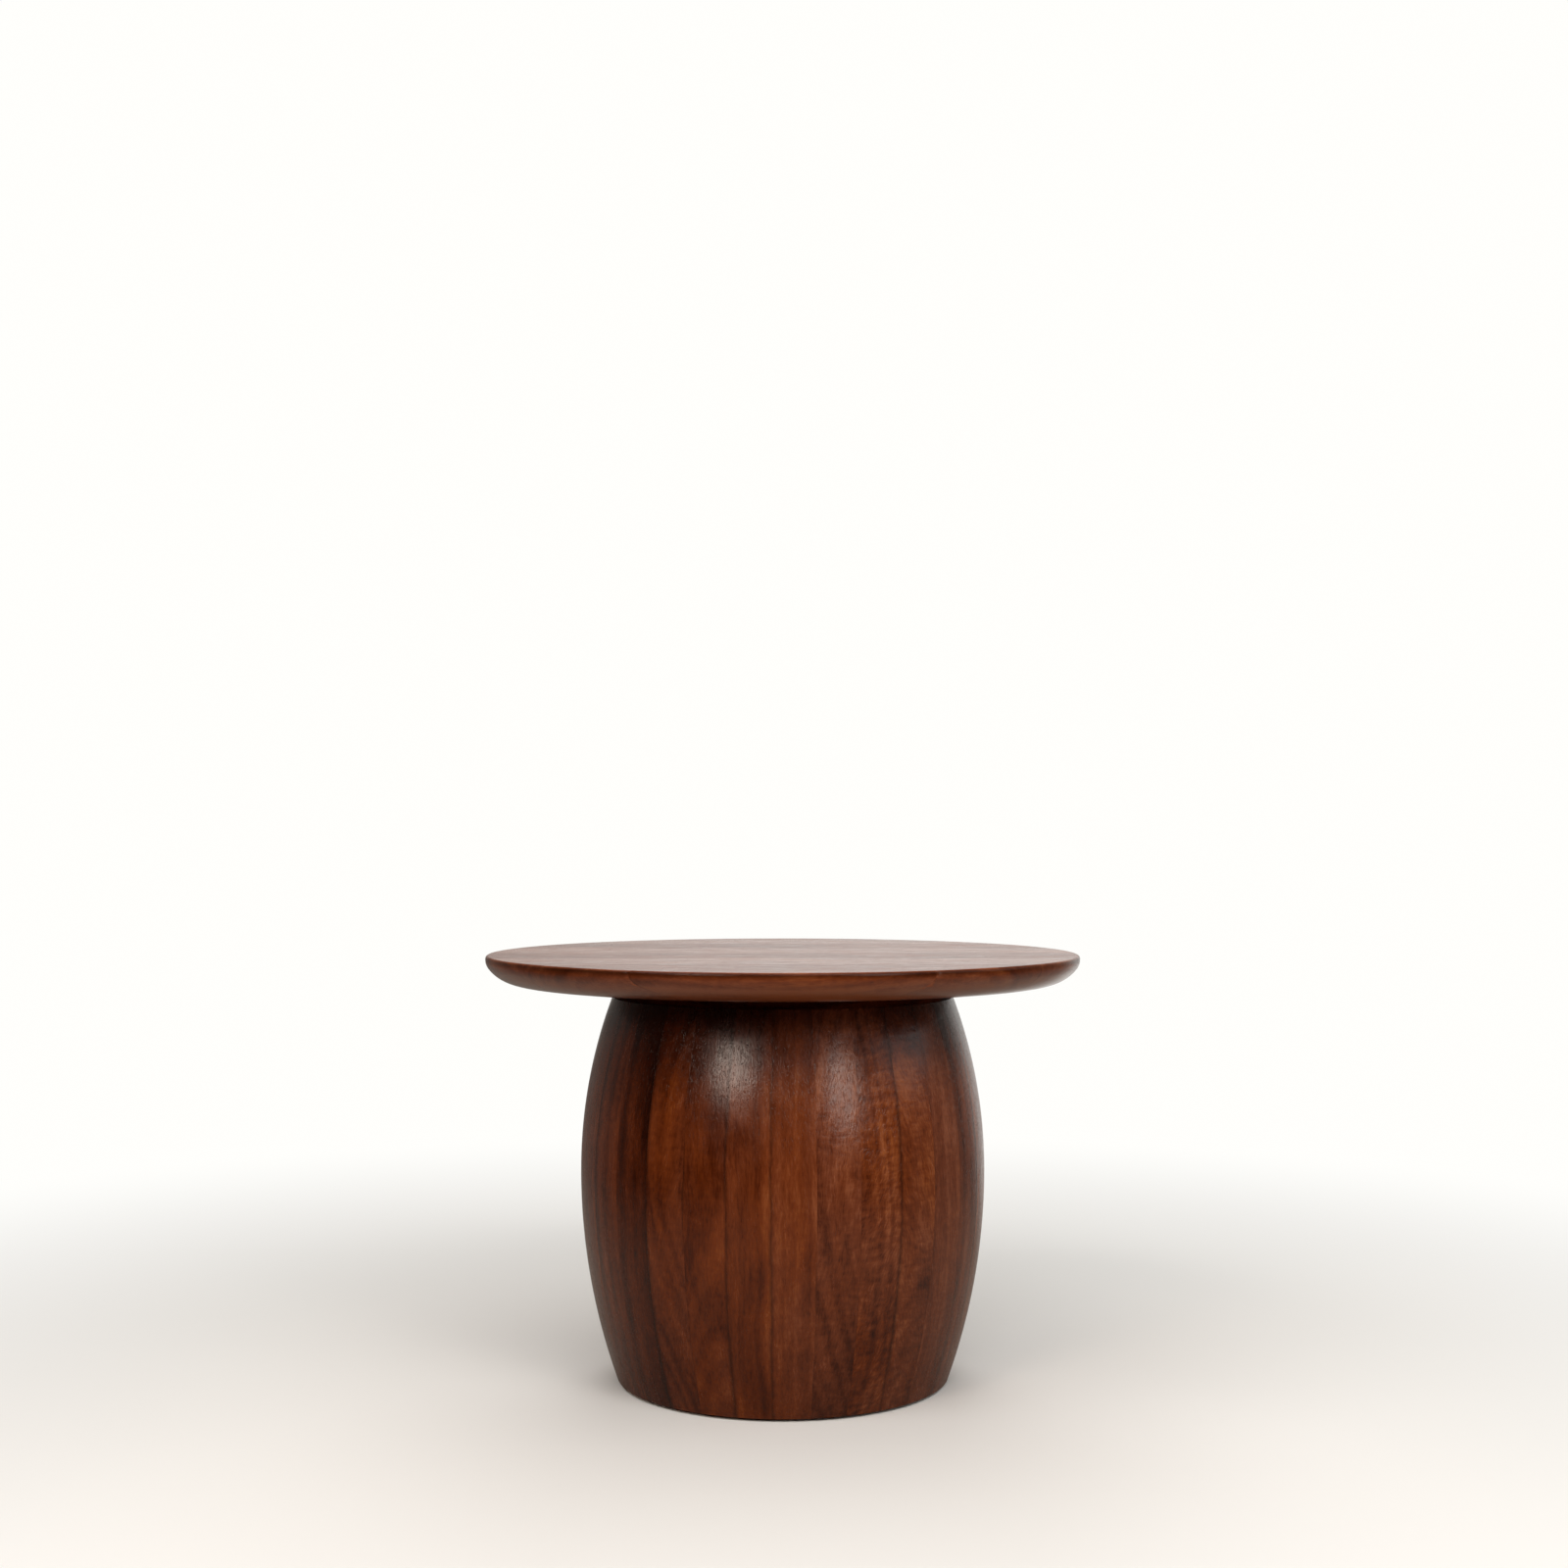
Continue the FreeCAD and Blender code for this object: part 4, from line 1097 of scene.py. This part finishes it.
def board_material(number, low, high):
    """The finish of one board between two glue joints."""
    tone, warmth, figure, dullness, heart, ring_width = SHOWN_BOARDS[number]
    finish = {
        "Warmth": warmth, "Figure": figure, "Heart": heart, "Ring Width": ring_width,
        "Lean": BOARD_LEAN, "Slant": 0.0, "Wander": BOARD_WANDER, "Slide": SLIDE_STEP * number,
        "Dullness": dullness, "Uneven Gloss": TOP_UNEVEN_GLOSS,
        "ior": TOP_IOR, "grain_depth": TOP_GRAIN_DEPTH,
    }
    middle = (low + high) / 2

    def level_in(tree):
        """The height on the table."""
        return parts_of(tree, own_place(tree))[2]

    def place(tree):
        """The place in the board, with its grain along X."""
        return turned_place(tree, (0, math.pi / 2, 0), (-top_level, -middle, 0))

    def joint_inputs(tree):
        """The distance to the nearer joint, and the stain in it."""
        across = parts_of(tree, own_place(tree))[1]
        off = sum_of(tree, "ABSOLUTE", sum_of(tree, "SUBTRACT", across, middle))
        spare = sum_of(tree, "SUBTRACT", (high - low) / 2, off)
        return {"Edge Distance": spare, "Presence": BOARD_JOINT_PRESENCE, "Width": BOARD_JOINT_WIDTH}

    def tone_and_painted_rim_light(tree):
        """How light the board is, with the lower rim painted lighter as painted bounce light."""
        # Painted light: the lower rim is lighter, as if lit by bounce light from below.
        painted_light = stretch(tree, level_in(tree), RIM_PAINTED_LIGHT_END, RIM_PAINTED_LIGHT_START, RIM_PAINTED_LIGHT, 0.0)
        return sum_of(tree, "ADD", painted_light, tone)

    def painted_crease_shade(tree):
        """The painted shade: a dark line under the upper edge, which comes and goes."""
        level = level_in(tree)
        # Painted shade: a dark band just under the upper edge.
        above = stretch(tree, level, CREASE_LOW, CREASE_MIDDLE)
        below = stretch(tree, level, CREASE_MIDDLE, CREASE_HIGH, 1.0, 0.0)
        patchy = stretch(tree, noise(tree, own_place(tree), CREASE_PATCHES), *CREASE_FADING)
        return product(tree, product(tree, product(tree, above, below), patchy), CREASE_PAINTED_SHADE)

    def rim_coat(tree):
        """The thicker lacquer on the rim."""
        return stretch(tree, level_in(tree), RIM_COAT_FULL, RIM_COAT_START, RIM_COAT, 0.0)

    return lacquered(f"board_{number}_finish", place, joint_inputs, tone_and_painted_rim_light, finish,
                     painted_crease_shade, rim_coat)


def cut_board(number):
    """One board: the blank cut at its two glue joints."""
    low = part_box(f"top_board_{number}")[0].y
    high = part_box(f"top_board_{number}")[1].y
    board = own_copy(blank, f"glued_board_{number}")
    bpy.ops.object.mode_set(mode="EDIT")
    for edge, side in ((low, -1), (high, 1)):
        if abs(edge) < top_radius - LEVEL_TOLERANCE:
            bpy.ops.mesh.select_all(action="SELECT")
            bpy.ops.mesh.bisect(plane_co=(0, edge, 0), plane_no=(0, side, 0),
                                use_fill=True, clear_outer=True)
    bpy.ops.object.mode_set(mode="OBJECT")
    ease_edges(board, BOARD_EASE)
    board.data.materials.append(board_material(number, low, high))
    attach(board, "root")
    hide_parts(f"top_board_{number}")
    return board


boards = [cut_board(number) for number in range(1, BOARD_COUNT + 1)]
bpy.data.objects.remove(blank)
print("boards:", [len(board.data.polygons) for board in boards])

# %% [markdown]
# The rest of the table keeps its CAD shape and gets a finish. The disc between top and barrel
# is the same wood in a matt stain, made darker than the barrel's as painted shade, and its rim
# lies just inside the barrel's neck, so it stays in the shadow. The two rings inside are bare
# plywood: thin veneers whose grain turns a quarter from one layer to the next. Stripes could
# be painted on the cut edges alone. Here each layer has its own direction of grain and every
# other one is a little darker, so the stripes show wherever a cut goes through the layers.

# %% Mounting disc and plywood rings
VENEER = 0.0015
# Painted shade: the disc's stain is made darker than the barrel's.
DISC_TONE_AND_PAINTED_SHADE = -0.35
DISC_ROUGHNESS = 0.3
MATT_IOR = 1.08
VENEER_ALONG = 12
VENEER_ACROSS = 420
ROUGH_DETAIL = (3.0, 0.6)
CROSS_LAYER_DARKER = 0.16
PLYWOOD_RAMP = [
    (0.15, (0.22, 0.125, 0.065)),
    (0.45, (0.46, 0.31, 0.17)),
    (0.8, (0.64, 0.48, 0.30)),
]


def dress_node(node, material):
    """Gives a CAD node's object its finish."""
    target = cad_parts[node]
    for place in target.material_slots:
        place.material = material


def make_disc_wood():
    """Matt stain on the mounting disc, made darker as painted shade."""
    material, tree, shader = new_material("disc_stain_and_painted_shade")
    place = turned_place(tree, (0, math.pi / 2, 0))
    grained = place_group(tree, grain, {"Place": place})
    inputs = {key: grained.outputs[key] for key in GRAIN_GIVES}
    wood = place_group(tree, stained_wood, {**inputs, "Tone": DISC_TONE_AND_PAINTED_SHADE}).outputs
    matt = sum_of(tree, "ADD", wood["Roughness"], DISC_ROUGHNESS)
    fill(tree, shader, {"Base Color": wood["Colour"], "Roughness": matt, "IOR": MATT_IOR})
    set_relief(tree, shader, wood["Height"], GRAIN_DEPTH)
    return material


def make_plywood():
    """Bare plywood: every other veneer has its grain along X, the rest along Y."""
    material, tree, shader = new_material("bare_plywood")
    own = own_place(tree)
    level = sum_of(tree, "SUBTRACT", parts_of(tree, own)[2], foot_level)
    layer = sum_of(tree, "FLOOR", sum_of(tree, "DIVIDE", level, VENEER))
    odd = sum_of(tree, "FLOORED_MODULO", layer, 2.0)
    fibres = []
    for cells in ((VENEER_ALONG, VENEER_ACROSS, VENEER_ACROSS),
                  (VENEER_ACROSS, VENEER_ALONG, VENEER_ACROSS)):
        fibres.append(noise(tree, vector_of(tree, "MULTIPLY", own, cells), 1.0, *ROUGH_DETAIL))
    fibre = choose(tree, odd, *fibres)
    shaded = sum_of(tree, "SUBTRACT", fibre, product(tree, odd, CROSS_LAYER_DARKER))
    colour = colour_ramp(tree, shaded, PLYWOOD_RAMP)
    fill(tree, shader, {"Base Color": colour, "Roughness": BARE_ROUGHNESS})
    set_relief(tree, shader, fibre, GRAIN_DEPTH)
    return material


dress_node("mounting_disc", make_disc_wood())
plywood = make_plywood()
dress_node("upper_ring", plywood)
dress_node("foot_ring", plywood)
print("disc and rings dressed")

# %% [markdown]
# Bolts, washers and screws are zinc plated steel and the inserts are brass. Plating is never
# even: it clouds a little, and handling dulls it in patches. Each metal could have a network
# of its own, but they differ only in colour and dullness, so one group serves both. The glides
# are moulded nylon with the faint orange peel of its mould.

# %% Metal and nylon
CLOUD_TAKES = {
    "Place": (0.0, 0.0, 0.0),
    "Dark": (0.4, 0.4, 0.4, 1.0),
    "Bright": (0.7, 0.7, 0.7, 1.0),
    "Dullness": 0.35,
}
CLOUD_SCALE = 320
CLOUD_LIMITS = (0.3, 0.7)
CLOUD_GLOSS = -0.4
SCRATCH_SCALE = 2600
SCRATCH_DEPTH = 0.00002
ZINC = {"Dark": (0.50, 0.51, 0.52, 1.0), "Bright": (0.74, 0.74, 0.72, 1.0), "Dullness": 0.34}
BRASS = {"Dark": (0.56, 0.38, 0.13, 1.0), "Bright": (0.80, 0.60, 0.28, 1.0), "Dullness": 0.28}
NYLON_DARK = (0.016, 0.011, 0.009, 1.0)
NYLON_PALE = (0.030, 0.021, 0.016, 1.0)
NYLON_ROUGHNESS = 0.38
NYLON_UNEVEN = 0.2
NYLON_PATCHES = 90
PEEL_SCALE = 900
PEEL_DEPTH = 0.00004


def make_cloud_group():
    """Slow clouds and fine scratches of a handled metal surface."""
    tree, given, result = new_group("clouded_metal", CLOUD_TAKES, STAIN_GIVES)
    takes = given.outputs
    clouds = noise(tree, takes["Place"], CLOUD_SCALE, *ROUGH_DETAIL)
    spread = product(tree, sum_of(tree, "SUBTRACT", clouds, 0.5), CLOUD_GLOSS)
    fill(tree, result, {
        "Colour": blend(tree, stretch(tree, clouds, *CLOUD_LIMITS), takes["Dark"], takes["Bright"]),
        "Roughness": sum_of(tree, "ADD", takes["Dullness"], spread),
        "Height": noise(tree, takes["Place"], SCRATCH_SCALE),
    })
    return tree


clouded_metal = make_cloud_group()


def make_metal(name, look):
    """A clouded metal finish."""
    material, tree, shader = new_material(name)
    cloud = place_group(tree, clouded_metal, {"Place": own_place(tree), **look}).outputs
    fill(tree, shader, {"Base Color": cloud["Colour"], "Roughness": cloud["Roughness"], "Metallic": 1.0})
    set_relief(tree, shader, cloud["Height"], SCRATCH_DEPTH)
    return material


def make_nylon():
    """Dark brown moulded nylon."""
    material, tree, shader = new_material("brown_nylon")
    own = own_place(tree)
    patches = noise(tree, own, NYLON_PATCHES)
    dull = sum_of(tree, "ADD", NYLON_ROUGHNESS, product(tree, patches, NYLON_UNEVEN))
    colour = blend(tree, patches, NYLON_DARK, NYLON_PALE)
    fill(tree, shader, {"Base Color": colour, "Roughness": dull})
    set_relief(tree, shader, noise(tree, own, PEEL_SCALE), PEEL_DEPTH)
    return material


zinc = make_metal("zinc_plating", ZINC)
brass = make_metal("plain_brass", BRASS)
for node in ("disc_screws", "top_bolts", "bolt_washers", "glide_screws"):
    dress_node(node, zinc)
dress_node("threaded_inserts", brass)
dress_node("glides", make_nylon())
print("metal and nylon dressed")

# %% [markdown]
# A dressed model must not grow past the CAD model that it covers, or it would no longer fit
# where the part goes. This last cell only clears the selection.

# %% Clear the selection
select_none()
